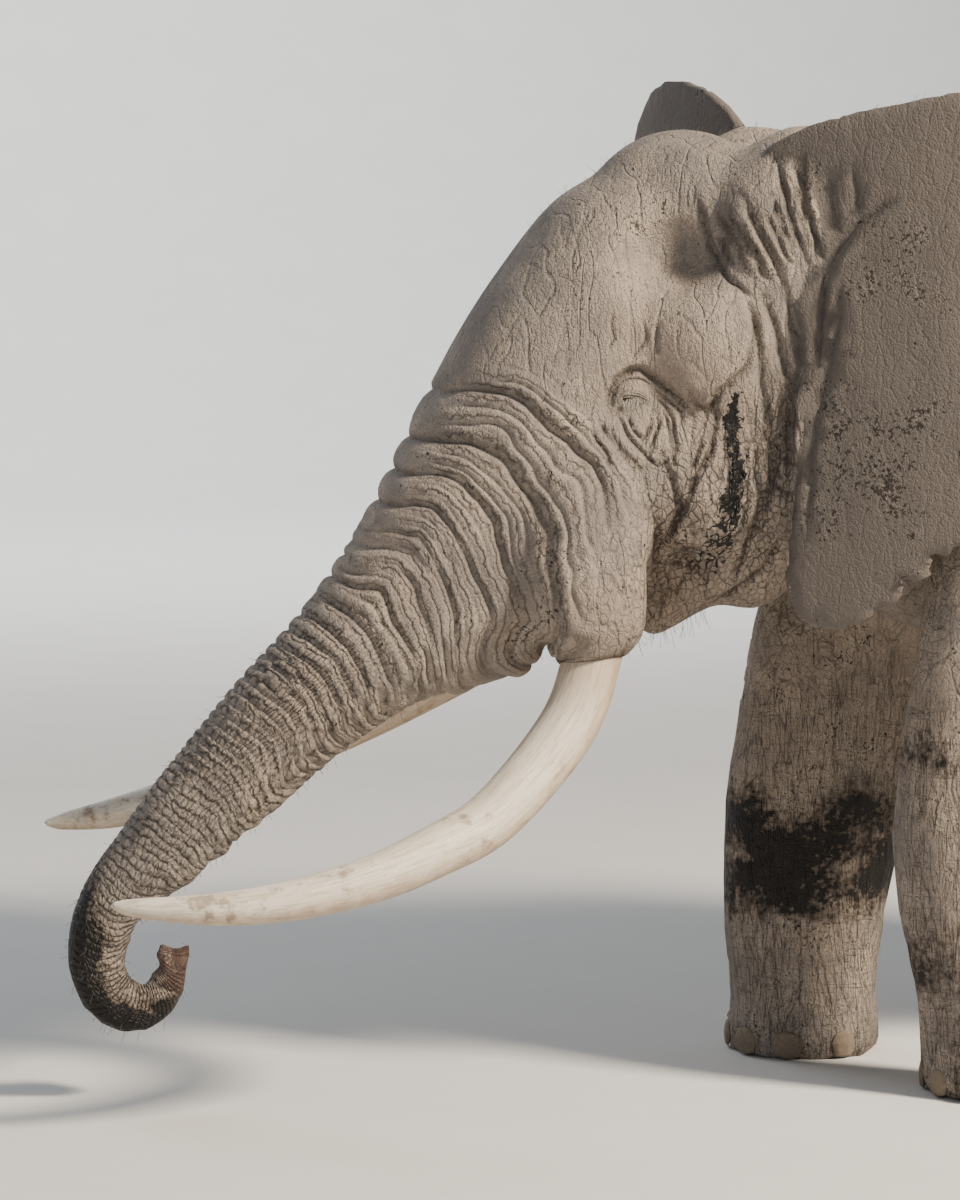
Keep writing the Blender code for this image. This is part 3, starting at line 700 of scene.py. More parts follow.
@dataclass(frozen=True)
class Ivory(Finish):
    """Worn ivory: cream, cracked and scratched along its length, stained, tan at its root,
    and darker tan underneath as painted shade.
    """

    cream: str = "DDD2BF"
    shade: str = "B09C80"
    tan: str = "9C7F62"
    stain: str = "74583E"
    scratch: str = "4E4034"

    def wire(self, add: Adder) -> dict[str, Any]:
        """Wires the ivory, which reads each point's place along the tusk and round it.

        Args:
            add: adds a node to the material's tree.

        Returns:
            What each socket of its shader gets.
        """
        place = add("TexCoord", out="Object")
        run = add("Attribute", out="Vector", attribute_name="run")
        along, under = (
            add("Attribute", out="Fac", attribute_name=name) for name in ("along", "under")
        )
        lines, fine, blotch, mark = (
            add("TexNoise", {
                "Vector": where, "Scale": scale, "Detail": detail, "Roughness": 0.6,
            })
            for where, scale, detail in (
                (run, 130.0, 4.0), (run, 420.0, 2.0), (place, 3.4, 3.0), (place, 22.0, 5.0),
            )
        )
        # tan from random marks, plus painted shade that browns the tusk's underside
        stain_and_underside_shade = add("Math", (mark, 0.8, under), operation="MULTIPLY_ADD")
        rootward = add("Math", (0.72, along), operation="SUBTRACT")
        near_root = add("Math", (blotch, 0.5, rootward), operation="MULTIPLY_ADD")
        both = add("Math", (blotch, mark), operation="MULTIPLY")
        tone = self.layers(add, from_hex(self.cream), *(
            (colour, add("MapRange", (value, low, high, 0.0, most), **SOFT))
            for colour, value, low, high, most in (
                (self.shade, lines, 0.42, 0.72, 0.7), (self.tan, stain_and_underside_shade, 0.75, 1.45, 0.75),
                (self.tan, near_root, 0.35, 0.95, 0.75), (self.stain, both, 0.27, 0.36, 0.60),
                (self.scratch, fine, 0.62, 0.72, 0.60),
            )
        ))
        height = add("Math", (lines, fine), operation="SUBTRACT")
        return {
            "Base Color": tone,
            "Normal": add("Bump", {"Height": height, "Distance": 0.0012, "Strength": 1.0}),
            "Roughness": 0.48,
        }


@dataclass(frozen=True)
class WetEye(Finish):
    """A wet eyeball: dark round the rim, a brown iris, a black pupil."""

    rim: str = "0E0906"
    iris: str = "3A210D"
    pupil: str = "050302"
    edge: float = 0.06          # how softly one ring of colour ends, in radians

    def wire(self, add: Adder) -> dict[str, Any]:
        """Wires the eye, which reads each point's angle from the way the eye looks.

        Args:
            add: adds a node to the material's tree.

        Returns:
            What each socket of its shader gets.
        """
        polar = add("Attribute", out="Fac", attribute_name="polar")
        tone = self.layers(add, from_hex(self.pupil), *(
            (colour, add("MapRange", (polar, start, start + self.edge)))
            for colour, start in ((self.iris, 0.20), (self.rim, 0.52))
        ))
        return {"Base Color": tone, "Roughness": 0.05}


# ---------------- lines of the hide


def groove(place: Rows) -> Rows:
    """Height of a row of rolled folds, 0 in each groove and 1 on each roll.

    Args:
        place: where along the row, one unit for each fold.

    Returns:
        The heights.
    """
    apart = np.abs((place + 0.5) % 1.0 - 0.5) * 2
    return 1 - (1 - apart) ** 3


@dataclass(frozen=True)
class Fold:
    """One crease on the side of the animal, drawn in X and Z."""

    rows: tuple[tuple[float, float], ...]
    deep: float = 0.005
    wide: float = 0.008
    lip: float = 0.002          # how far the hide rolls out along its left

    def line(self) -> Rows:
        """Returns the crease as a smooth line of close points."""
        return curve_through(self.rows, 6)

    def read(self, side: Rows) -> tuple[Rows, Rows]:
        """Finds how far points lie from the crease.

        Args:
            side: X and Z, one row for each point.

        Returns:
            The distance, plus to the left of the way the crease runs, and the share of
            the crease's length that the nearest place on it has behind it.
        """
        line = self.line()
        start, step = line[:-1], np.diff(line, axis=0)
        length = np.maximum(np.linalg.norm(step, axis=1), 1e-9)
        run = np.concatenate([[0.0], np.cumsum(length)])
        best = np.full(len(side), 1e9)
        signed, share = np.zeros(len(side)), np.zeros(len(side))
        for at in range(len(start)):
            away = side - start[at]
            part = np.clip(away @ step[at] / length[at] ** 2, 0.0, 1.0)
            rest = away - part[:, None] * step[at]
            gap = np.hypot(rest[:, 0], rest[:, 1])
            nearer = gap < best
            best = np.where(nearer, gap, best)
            turn = np.sign(step[at, 0] * away[:, 1] - step[at, 1] * away[:, 0])
            signed = np.where(nearer, turn * gap, signed)
            share = np.where(nearer, (run[at] + part * length[at]) / run[-1], share)
        return signed, share

    def press(self, side: Rows) -> tuple[Rows, Rows, Rows]:
        """Works out what the crease does to the points near it.

        Args:
            side: X and Z, one row for each point.

        Returns:
            The numbers of the points near it, how far out each goes, and how deep in the
            crease each lies, from 0 to 1.
        """
        line = self.line()
        reach = 4 * self.wide
        near = np.all((side > line.min(0) - reach) & (side < line.max(0) + reach), axis=1)
        index = np.nonzero(near)[0]
        away, share = self.read(side[index])
        fade = np.sqrt(np.clip(np.sin(np.pi * np.clip(share, 0.02, 0.98)) * 1.6, 0, 1))
        inside = np.exp(-(away / self.wide) ** 2) * fade
        roll = np.exp(-((away - 1.7 * self.wide) / (1.2 * self.wide)) ** 2) * fade
        return index, self.lip * roll - self.deep * inside, inside


@dataclass(frozen=True)
class Fan:
    """Creases that lie between two others, evenly but for a little waver."""

    first: Fold
    last: Fold
    count: int
    seed: int = 1
    waver: float = 0.35

    def folds(self) -> list[Fold]:
        """Lists the creases, without the first and the last."""
        steps = np.linspace(0, 1, 9)
        ends = []
        for fold in (self.first, self.last):
            line = fold.line()
            run = lengths_along(line)
            run /= run[-1]
            ends.append(np.stack([np.interp(steps, run, line[:, k]) for k in (0, 1)], axis=1))
        pick = np.random.default_rng(self.seed)
        made = []
        for at in range(1, self.count + 1):
            share = (at + self.waver * pick.uniform(-1, 1)) / (self.count + 1)
            low, high = sorted(pick.uniform(0, 1, 2) * (0.3, 0.3) + (0.0, 0.7))
            bend = share + 0.25 / self.count * pick.uniform(-1, 1, 9)[:, None]
            rows = ends[0] * (1 - bend) + ends[1] * bend
            keep = (steps >= low) & (steps <= high)
            size = pick.uniform(0.6, 1.15)
            made.append(Fold(
                tuple(map(tuple, rows[keep])), self.first.deep * size, self.first.wide,
                self.first.lip * size,
            ))
        return made


# Rings of the trunk: the number of each, and how it runs on the side, from the front
# of the trunk back and down.
RINGS = (
    (-1.0, ((-0.09, 2.14), (0.07, 2.15), (0.27, 2.01), (0.42, 1.81), (0.52, 1.60), (0.51, 1.50))),
    (0.0, ((-0.13, 2.06), (-0.03, 2.06), (0.13, 1.96), (0.29, 1.75), (0.42, 1.46))),
    (1.0, ((-0.20, 1.92), (-0.06, 1.90), (0.09, 1.72), (0.14, 1.45), (0.15, 1.30))),
    (2.0, ((-0.25, 1.83), (-0.14, 1.81), (-0.01, 1.62), (0.07, 1.40), (0.07, 1.27))),
    (3.0, ((-0.31, 1.73), (-0.18, 1.73), (-0.07, 1.53), (-0.02, 1.40), (-0.03, 1.28))),
    (4.0, ((-0.35, 1.65), (-0.23, 1.64), (-0.13, 1.42), (-0.08, 1.20))),
    (5.0, ((-0.40, 1.58), (-0.29, 1.56), (-0.19, 1.35), (-0.14, 1.20))),
    (6.0, ((-0.44, 1.52), (-0.33, 1.49), (-0.23, 1.28), (-0.17, 1.16))),
    (7.7, ((-0.51, 1.42), (-0.40, 1.30), (-0.33, 1.13))),
    (9.6, ((-0.59, 1.34), (-0.48, 1.26), (-0.42, 1.11))),
    (12.2, ((-0.67, 1.25), (-0.56, 1.15), (-0.50, 1.02))),
    (15.5, ((-0.77, 1.15), (-0.65, 1.05), (-0.60, 0.92))),
    (19.4, ((-0.85, 1.05), (-0.73, 0.93), (-0.68, 0.84))),
    (23.3, ((-0.93, 0.95), (-0.80, 0.84), (-0.74, 0.75))),
    (27.5, ((-1.00, 0.86), (-0.87, 0.75), (-0.81, 0.69))),
    (32.3, ((-1.08, 0.75), (-0.95, 0.67), (-0.89, 0.62))),
    (38.0, ((-1.16, 0.65), (-0.98, 0.56))),
    (44.0, ((-1.21, 0.51), (-1.04, 0.48))),
    (49.5, ((-1.21, 0.37), (-1.05, 0.40))),
    (55.0, ((-1.15, 0.25), (-1.03, 0.35))),
    (60.0, ((-1.03, 0.19), (-0.99, 0.33))),
    (65.0, ((-0.92, 0.24), (-0.96, 0.35))),
    (70.0, ((-0.87, 0.33), (-0.96, 0.40))),
    (74.0, ((-0.86, 0.42), (-0.95, 0.43))),
)


@dataclass
class RingField:
    """Numbers the trunk's rings all over its side, smoothly between the known ones."""

    rings: tuple = RINGS
    knots: Rows = field(init=False)
    weights: Rows = field(init=False)

    def __post_init__(self) -> None:
        """Fits the field to the known rings."""
        knots, values = [], []
        for value, rows in self.rings:
            knots += rows
            values += [value] * len(rows)
        self.knots = np.array(knots)
        count = len(knots)
        system = np.zeros((count + 3, count + 3))
        system[:count, :count] = self.reach(self.knots) + 0.004 * np.eye(count)
        plane = np.hstack([np.ones((count, 1)), self.knots])
        system[:count, count:] = plane
        system[count:, :count] = plane.T
        self.weights = np.linalg.solve(system, np.array(values + [0.0] * 3))

    def reach(self, side: Rows) -> Rows:
        """Returns how far each point is from each knot."""
        return np.linalg.norm(side[:, None] - self.knots[None], axis=2)

    def smooth(self, side: Rows) -> Rows:
        """Returns the ring number at each X and Z, without any waver."""
        plane = np.hstack([np.ones((len(side), 1)), side])
        return self.reach(side) @ self.weights[:-3] + plane @ self.weights[-3:]

    def at(self, points: Rows) -> tuple[Rows, Rows]:
        """Reads the field with the waver of real folds.

        Args:
            points: places in the animal's axes.

        Returns:
            The ring number and the distance between rings.
        """
        side = points[:, [0, 2]]
        plain = self.smooth(side)
        step = 0.01
        slope = np.stack([
            self.smooth(side + (step, 0)) - plain, self.smooth(side + (0, step)) - plain,
        ], axis=1)
        apart = step / np.maximum(np.linalg.norm(slope, axis=1), 1e-4)
        loose = ramp(plain, 4.0, 14.0)
        waver = (0.14 + 0.16 * loose) * noise(points, 0.13, 11)
        waver += (0.05 + 0.09 * loose) * noise(points, 0.05, 12)
        return plain + waver, apart

    def row(self, ring: Rows) -> Rows:
        """Numbers the fine rings, which part the wide ones higher up."""
        return np.interp(ring, (-3.0, 6.0, 12.0, 90.0), (-9.0, 18.0, 30.0, 108.0))


# Creases that stand alone, by the part of the head they lie on.
EYE_ARC = Fold((
    (0.31, 1.985), (0.313, 2.04), (0.326, 2.078), (0.354, 2.108), (0.396, 2.12),
    (0.435, 2.096), (0.476, 2.062), (0.52, 2.016), (0.535, 1.99),
), 0.017, 0.010, 0.002)
CROWN = tuple(Fold(rows, 0.011, 0.0095, 0.006) for rows in (
    ((0.57, 2.61), (0.60, 2.52), (0.63, 2.42), (0.65, 2.37), (0.70, 2.33)),
    ((0.69, 2.61), (0.71, 2.53), (0.74, 2.47), (0.77, 2.40), (0.80, 2.35)),
    ((0.78, 2.72), (0.79, 2.63), (0.80, 2.55), (0.83, 2.47), (0.86, 2.41)),
    ((0.83, 2.72), (0.84, 2.64), (0.85, 2.57), (0.87, 2.50), (0.88, 2.42)),
))
NECK = tuple(Fold(rows, 0.014, 0.011, 0.007) for rows in (
    ((0.69, 2.33), (0.72, 2.22), (0.74, 2.08), (0.75, 1.95), (0.77, 1.80), (0.75, 1.66)),
    ((0.74, 2.32), (0.78, 2.22), (0.80, 2.08), (0.80, 1.95), (0.82, 1.80), (0.82, 1.64)),
    ((0.80, 2.34), (0.83, 2.23), (0.84, 2.12), (0.82, 2.01), (0.82, 1.90), (0.85, 1.80)),
))
JAW_LINES = tuple(Fold(rows, 0.010, 0.010, 0.004) for rows in (
    ((0.46, 1.88), (0.48, 1.82), (0.505, 1.76), (0.52, 1.69), (0.50, 1.64), (0.485, 1.57)),
    ((0.55, 1.80), (0.525, 1.72), (0.50, 1.64)),
    ((0.605, 1.90), (0.565, 1.83), (0.54, 1.78)),
    ((0.50, 1.63), (0.56, 1.60), (0.60, 1.60)),
    ((0.50, 1.55), (0.58, 1.545), (0.63, 1.51)),
    ((0.73, 1.94), (0.73, 1.83), (0.75, 1.71), (0.74, 1.61), (0.71, 1.50)),
    ((0.68, 1.43), (0.73, 1.47), (0.80, 1.54), (0.83, 1.62)),
))
UNDER_EYE = tuple(Fold(rows, 0.010, 0.0055, 0.003) for rows in (
    ((0.335, 1.987), (0.353, 1.949), (0.384, 1.907), (0.419, 1.872), (0.453, 1.837)),
    ((0.363, 1.982), (0.385, 1.944), (0.408, 1.914)),
    ((0.437, 1.974), (0.42, 1.936), (0.404, 1.906)),
    ((0.452, 1.989), (0.443, 1.936), (0.423, 1.879)),
    ((0.471, 1.989), (0.483, 1.936), (0.489, 1.88), (0.497, 1.838)),
    ((0.492, 1.967), (0.497, 1.917), (0.50, 1.876)),
    ((0.576, 1.91), (0.553, 1.86), (0.546, 1.834)),
    ((0.255, 1.958), (0.272, 1.916), (0.297, 1.871), (0.316, 1.84)),
    ((0.275, 1.976), (0.316, 1.915), (0.358, 1.862), (0.382, 1.833)),
    ((0.305, 1.960), (0.335, 1.905), (0.372, 1.862), (0.402, 1.832)),
))
ROUND_EYE = tuple(Fold(rows, 0.0075, 0.0042, 0.002) for rows in (
    ((0.323, 1.998), (0.323, 2.036), (0.336, 2.070), (0.367, 2.094), (0.402, 2.092), (0.43, 2.069)),
    ((0.449, 2.058), (0.485, 2.024), (0.521, 1.99)),
    ((0.449, 2.038), (0.474, 2.012), (0.492, 1.974), (0.498, 1.936)),
    ((0.465, 2.050), (0.500, 2.015), (0.522, 1.965)),
    ((0.302, 2.173), (0.319, 2.216), (0.313, 2.282)),
    ((0.380, 2.150), (0.412, 2.205), (0.403, 2.259)),
    ((0.441, 2.162), (0.437, 2.216), (0.454, 2.26)),
))
CHEEK_EDGE = (
    Fold((
        (0.53, 2.05), (0.58, 2.00), (0.61, 2.05), (0.68, 2.12), (0.71, 2.22), (0.70, 2.30),
    ), 0.013, 0.013, 0.007),
    Fold(((0.595, 2.04), (0.613, 1.99), (0.607, 1.936), (0.595, 1.875), (0.58, 1.834)),
         0.008, 0.008, 0.003),
)
EAR_SLIT = Fold(((0.905, 2.40), (0.893, 2.28), (0.888, 2.14)), 0.024, 0.0065, 0.006)
EAR_ROOT = (
    Fold(((1.07, 2.60), (1.01, 2.555), (0.955, 2.49), (0.912, 2.415)), 0.014, 0.011, 0.008),
    *(Fold(rows, 0.008, 0.006, 0.004) for rows in (
        ((0.845, 2.735), (0.857, 2.575), (0.895, 2.44)),
        ((0.915, 2.66), (0.925, 2.57), (0.945, 2.505)),
        ((0.97, 2.69), (0.98, 2.60), (0.992, 2.555)),
        ((0.94, 2.38), (0.935, 2.25), (0.915, 2.12), (0.885, 1.98), (0.872, 1.80), (0.86, 1.62)),
    )),
)
SHEATH_REAR = Fold(
    ((0.44, 1.72), (0.465, 1.64), (0.488, 1.55), (0.502, 1.43), (0.502, 1.34)), 0.012, 0.016, 0.0
)
GLAND = Fold((
    (0.664, 2.075), (0.662, 1.98), (0.668, 1.87), (0.670, 1.79), (0.662, 1.73), (0.650, 1.66),
    (0.640, 1.58), (0.632, 1.50),
), 0.0, 0.015, 0.0)
HOLLOW = ((0.480, 2.440), (0.150, 0.130), 0.026)     # middle, reach and depth of the temple
SHOULDER = ((0.690, 2.520), (0.095, 0.160), -0.018)  # the muscle between it and the ear


def all_folds() -> list[Fold]:
    """Lists every crease of the head and neck."""
    fans = [
        Fan(CROWN[0], CROWN[1], 4, 1), Fan(CROWN[1], CROWN[2], 4, 2),
        Fan(CROWN[2], CROWN[3], 3, 3), Fan(NECK[0], NECK[1], 3, 4),
        Fan(NECK[1], NECK[2], 3, 5), Fan(JAW_LINES[5], NECK[1], 4, 6),
        Fan(CHEEK_EDGE[1], JAW_LINES[5], 4, 7), Fan(JAW_LINES[3], JAW_LINES[4], 3, 8),
    ]
    made = [EYE_ARC, EAR_SLIT, SHEATH_REAR, *CHEEK_EDGE, *CROWN, *NECK, *JAW_LINES, *EAR_ROOT]
    made += [*UNDER_EYE, *ROUND_EYE]
    for fan in fans:
        made += fan.folds()
    return made


# ---------------- the skin


@dataclass
class Lids:
    """The lids of one eye, as heights round it."""

    side: str
    place: Place
    ball: float = 0.0193
    thick: float = 0.0050       # from the eyeball to the outside of a lid
    width: float = 0.070        # of the opening
    gap: float = 0.0185         # its height
    drop: float = -0.013        # how far below the eyeball's middle it lies
    mound: float = 0.066        # how far out the hide rises towards the lids

    def move(self, points: Rows, index: Rows) -> Rows:
        """Shapes the hide round the eye.

        Args:
            points: the skin in the animal's axes.
            index: the numbers of those near the eye.

        Returns:
            The new places of those numbered.
        """
        centre = self.place.inward(self.place.eyes[self.side])
        out = Vector((-0.12, SIDES[self.side], -0.05)).normalized()
        up = Vector((0.0, 0.0, 1.0))
        up = (up - up.dot(out) * out).normalized()
        back = up.cross(out) * -SIDES[self.side]
        frame_rows = np.array([back, up, out])
        local = (points[index] - centre) @ frame_rows.T
        a, b, h = local[:, 0], local[:, 1], local[:, 2]
        r = np.hypot(a, b)
        rise = np.hypot(a / 1.15, b - 0.004)
        lid = np.sqrt(np.maximum((self.ball + self.thick) ** 2 - r ** 2, 0.0))
        hill = 0.009 * (1 - ramp(rise, 0.020, self.mound))
        roll = np.exp(-(a / 0.040) ** 2 - ((b - 0.012 + 8 * a ** 2) / 0.020) ** 2)
        raised = np.maximum(h + hill, lid) + 0.017 * roll
        tilt = b - self.drop + 0.18 * a
        bow = tilt + 7.0 * a ** 2
        lines = np.cos(2 * math.pi * bow / 0.0068) * 0.0013
        raised += lines * ramp(bow, 0.010, 0.014) * (1 - ramp(bow, 0.034, 0.045))
        crease = 0.0050 * np.exp(-((bow - 0.0155) / 0.0024) ** 2)
        raised -= crease * (1 - ramp(np.abs(a), 0.028, 0.042))
        half = self.gap / 2 * np.clip(1 - (2 * a / self.width) ** 2, 0, 1) ** 0.6
        inside = 1 - ramp(np.abs(tilt) - half, -0.0014, 0.0004)
        edge = np.exp(-((np.abs(tilt) - half - 0.0026) / 0.0020) ** 2)
        edge *= 1 - ramp(np.abs(a), self.width / 2, self.width / 2 + 0.008)
        raised += 0.0016 * edge
        sunk = np.maximum(np.sqrt(np.maximum(self.ball ** 2 - r ** 2, 0.0)) - 0.006, 0.004)
        raised = raised * (1 - inside) + sunk * inside
        return np.stack([a, b, raised], axis=1) @ frame_rows + centre


# Middle line of the head and trunk from the crown to the finger, X and Z.
HEAD_LINE = (
    (0.61, 2.69), (0.58, 2.58), (0.50, 2.31), (0.39, 2.02), (0.25, 1.78), (0.06, 1.61),
    (-0.14, 1.43), (-0.36, 1.28), (-0.57, 1.11), (-0.73, 0.95), (-0.86, 0.82), (-0.97, 0.70),
    (-1.07, 0.61), (-1.12, 0.50), (-1.13, 0.39), (-1.09, 0.30), (-1.01, 0.26), (-0.94, 0.30),
    (-0.91, 0.36), (-0.90, 0.43),
)


@dataclass
class Unwrap:
    """Lays the hide out flat: each limb, the body and the head cut open and unrolled."""

    sheet: float = 7.2          # width of the square that all of it lies in, in metres
    girths: tuple[float, float] = (0.78, 0.38)   # radius the body and the head unroll on

    def turn(self, up: Rows, side: Rows) -> Rows:
        """Returns the angle of each corner, kept next to its face's first corner."""
        angle = np.arctan2(side, up)
        first = angle[:, :1]
        return first + (angle - first + np.pi) % (2 * np.pi) - np.pi

    def head(self, at: Rows) -> tuple[Rows, Rows]:
        """Unrolls the head and trunk along their middle line.

        Args:
            at: corners of the faces in the animal's axes, faces by corners by three.

        Returns:
            How far across and along the sheet each corner lies.
        """
        line = curve_through(HEAD_LINE, 3)
        step, run = unit(np.gradient(line, axis=0)), lengths_along(line)
        side = at[..., [0, 2]].reshape(-1, 2)
        near = np.linalg.norm(side[:, None] - line[None], axis=2).argmin(axis=1)
        away = side - line[near]
        along = run[near] + np.einsum("ij,ij->i", away, step[near])
        front = away[:, 0] * step[near, 1] - away[:, 1] * step[near, 0]
        shape = at.shape[:2]
        angle = self.turn(front.reshape(shape), at[..., 1])
        return angle * self.girths[1] + 1.3, along.reshape(shape) + 0.3

    def lay(self, at: Rows, normal: Rows, part: Rows,
            parts: Sequence[str]) -> Rows:
        """Places every corner of every face.

        Args:
            at: corners of the faces in the animal's axes, faces by corners by three.
            normal: the faces' normals.
            part: the number of the solid each face lies on.
            parts: the solids' names.

        Returns:
            U and V of every corner.
        """
        across, along = self.head(at)
        across, along = across.copy(), along + 3.3

        def put(where: Rows, u: Rows, v: Rows, x: float, y: float) -> None:
            """Writes one patch, with its corner of the sheet at x and y."""
            across[where], along[where] = u[where] + x, v[where] + y

        names = np.array(parts)[part]

        def starts(*words: str) -> Rows:
            """Says which faces lie on the solids whose names start so."""
            return np.array([str(name).startswith(words) for name in names])

        body = starts("neck", "shoulders", "belly", "hindquarters")
        angle = self.turn(at[..., 2] - 2.1, at[..., 1])
        put(body, angle * self.girths[0] + 2.6, at[..., 0] - 0.75, 0.0, 0.0)
        legs = {
            "fore_left": (1.42, -0.39, 2.70, 3.30), "fore_right": (1.13, 0.40, 4.15, 3.30),
            "hind_left": (3.00, -0.38, 2.70, 4.55), "hind_right": (3.20, 0.38, 4.15, 4.55),
        }
        for number, (name, (x, y, u, v)) in enumerate(legs.items()):
            pair, hand = name.split("_")
            leg = starts(f"{pair}_leg_{hand}", f"{pair}_foot_{hand}")
            angle = self.turn(at[..., 0] - x, at[..., 1] - y)
            put(leg, angle * 0.20 + 0.68, at[..., 2], u, v)
            sole = leg & (normal[:, 2] < -0.7) & (at[..., 2].max(axis=1) < 0.05)
            put(sole, at[..., 0] - x + 0.27, at[..., 1] - y + 0.25, 2.7 + 0.6 * number, 5.85)
        for hand, side, spots in (
            ("left", -1, ((5.3, 0.0), (5.3, 1.65))), ("right", 1, ((5.65, 3.3), (5.65, 4.95))),
        ):
            ear = starts(f"ear_{hand}")
            out = np.abs(at[..., 1]) - 0.38
            back = at[..., 0] - 0.78
            span = np.hypot(out, back) if side > 0 else back
            facing = normal[:, 0] if side > 0 else normal[:, 1] * side
            for face, spot in ((facing >= 0, spots[0]), (facing < 0, spots[1])):
                put(ear & face, span, at[..., 2] - 1.35, *spot)
        angle = self.turn(at[..., 0] - 3.84, at[..., 1] - 0.04)
        put(starts("tail"), angle * 0.06 + 0.2, at[..., 2] - 0.9, 6.65, 0.0)
        return np.stack([across, along], axis=2) / self.sheet


@dataclass
class Spots:
    """Points of the hide, and how the hide lies at each of them."""

    at: Rows              # in the animal's axes
    owner: Rows           # the number of the solid under each
    parts: tuple[str, ...]      # the solids' names
    place: Place
    rings: RingField

    @cached_property
    def ring(self) -> tuple[Rows, Rows]:
        """The number of the trunk's ring at each point, and how far apart they are there."""
        return self.rings.at(self.at)

    def some(self, index: Rows) -> "Spots":
        """Returns only the points that are numbered."""
        return replace(self, at=self.at[index], owner=self.owner[index])

    def on(self, *starts: str) -> Rows:
        """Says which points lie on the solids whose names start so."""
        named = [at for at, name in enumerate(self.parts) if name.startswith(starts)]
        return np.isin(self.owner, named)

    def ring_share(self) -> Rows:
        """Finds how far the trunk's rings hold sway.

        Returns:
            A share from 0 to 1 for each point.
        """
        ring, x = self.ring[0], self.at[:, 0]
        side = ramp(np.abs(self.at[:, 1]), 0.14, 0.24)
        share = ramp(ring, -0.35, 0.15) * (1 - side) + ramp(ring, -1.0, -0.4) * side
        sheath = ramp(x, 0.16, 0.30) * (1 - ramp(self.at[:, 2], 1.55, 1.80))
        return share * self.on("head", "trunk") * (1 - ramp(x, 0.34, 0.50)) * (1 - sheath)

    def ring_relief(self) -> Rows:
        """Raises the trunk's rings, wide ones in front and fine ones on its sides.

        Returns:
            How far out each point goes.
        """
        move = np.zeros(len(self.at))
        index = np.nonzero((self.at[:, 0] < 0.55) & self.on("head", "trunk"))[0]
        here = self.some(index)
        (ring, apart), share = here.ring, here.ring_share()
        side = ramp(np.abs(here.at[:, 1]), 0.12, 0.22) * ramp(apart, 0.055, 0.075)
        fork = ramp(noise(here.at, 0.16, 21), 0.10, 0.40) * ramp(ring, 1.0, 5.0)
        big = groove(ring) * (1 - fork) + groove(ring + 0.5) * fork
        deep = np.clip(0.22 * apart, 0.0, 0.028) * ramp(apart, 0.022, 0.034)
        raised = deep * (big - 0.80) * (1 - 0.35 * side)
        fine = np.clip(0.075 * apart, 0, 0.011) * ramp(apart, 0.07, 0.10)
        raised += (0.15 + 0.85 * side) * fine * (groove(3 * ring) - 0.75)
        move[index] = raised * share
        lump = noise(here.at, 0.045, 23) * 0.6 + noise(here.at, 0.028, 24) * 0.4
        low, under = ramp(ring, 4.0, 24.0), ramp(here.rearward(), -0.2, 0.6)
        move[index] += share * low * (0.0015 + 0.015 * under) * lump
        return move

    def ring_depth(self) -> Rows:
        """Finds how deep in a wide groove of the trunk the points lie.

        Returns:
            A depth from 0 to 1 for each point.
        """
        ring, apart = self.ring
        share = self.ring_share() * ramp(apart, 0.03, 0.06)
        side = ramp(np.abs(self.at[:, 1]), 0.12, 0.22) * ramp(apart, 0.07, 0.10)
        wide = np.clip(1 - groove(ring) * 1.35, 0, 1)
        return share * np.maximum(wide, side * np.clip(0.8 - groove(3 * ring) * 1.2, 0, 1))

    def rearward(self) -> Rows:
        """Finds how far each point of the trunk faces back.

        Returns:
            A share from -1 to 1 for each point.
        """
        crossings = np.array([(line[0], line[-1]) for _, line in self.rings.rings[8:]])
        rows, ends = crossings[:, 0], crossings[:, 1]
        side = self.at[:, [0, 2]]
        gap = np.linalg.norm(side[:, None] - ((rows + ends) / 2)[None], axis=2)
        near = gap.argmin(axis=1)
        across = ends[near] - rows[near]
        half = np.linalg.norm(across, axis=1) / 2
        middle = (rows[near] + ends[near]) / 2
        return np.einsum("ij,ij->i", side - middle, across) / (2 * half * half)

    def around(self) -> Rows:
        """Finds how far round the trunk each point lies from its front.

        Returns:
            The distances, in metres.
        """
        half = np.interp(
            self.at[:, 2], (0.3, 0.7, 1.2, 1.6, 2.1), (0.08, 0.13, 0.20, 0.26, 0.40)
        )
        return np.arctan2(np.abs(self.at[:, 1]), -self.rearward() * 2 * half) * half

    def fold_relief(self) -> tuple[Rows, Rows]:
        """Presses every crease of the head and neck.

        Returns:
            How far out each point goes, and how deep in a crease it lies.
        """
        move, inside = np.zeros(len(self.at)), np.zeros(len(self.at))
        flesh = self.on("head", "lower_jaw", "neck", "ear")
        index = np.nonzero(flesh & (np.abs(self.at[:, 1]) > 0.10) & (self.at[:, 0] < 1.10))[0]
        here = self.at[index]
        side = here[:, [0, 2]] + 0.005 * np.stack([
            noise(here, 0.035, 31), noise(here, 0.035, 32),
        ], axis=1)
        for fold in all_folds():
            near, out, deep = fold.press(side)
            move[index[near]] += out
            inside[index[near]] = np.maximum(inside[index[near]], deep)
        return np.clip(move, -0.028, 0.012), inside

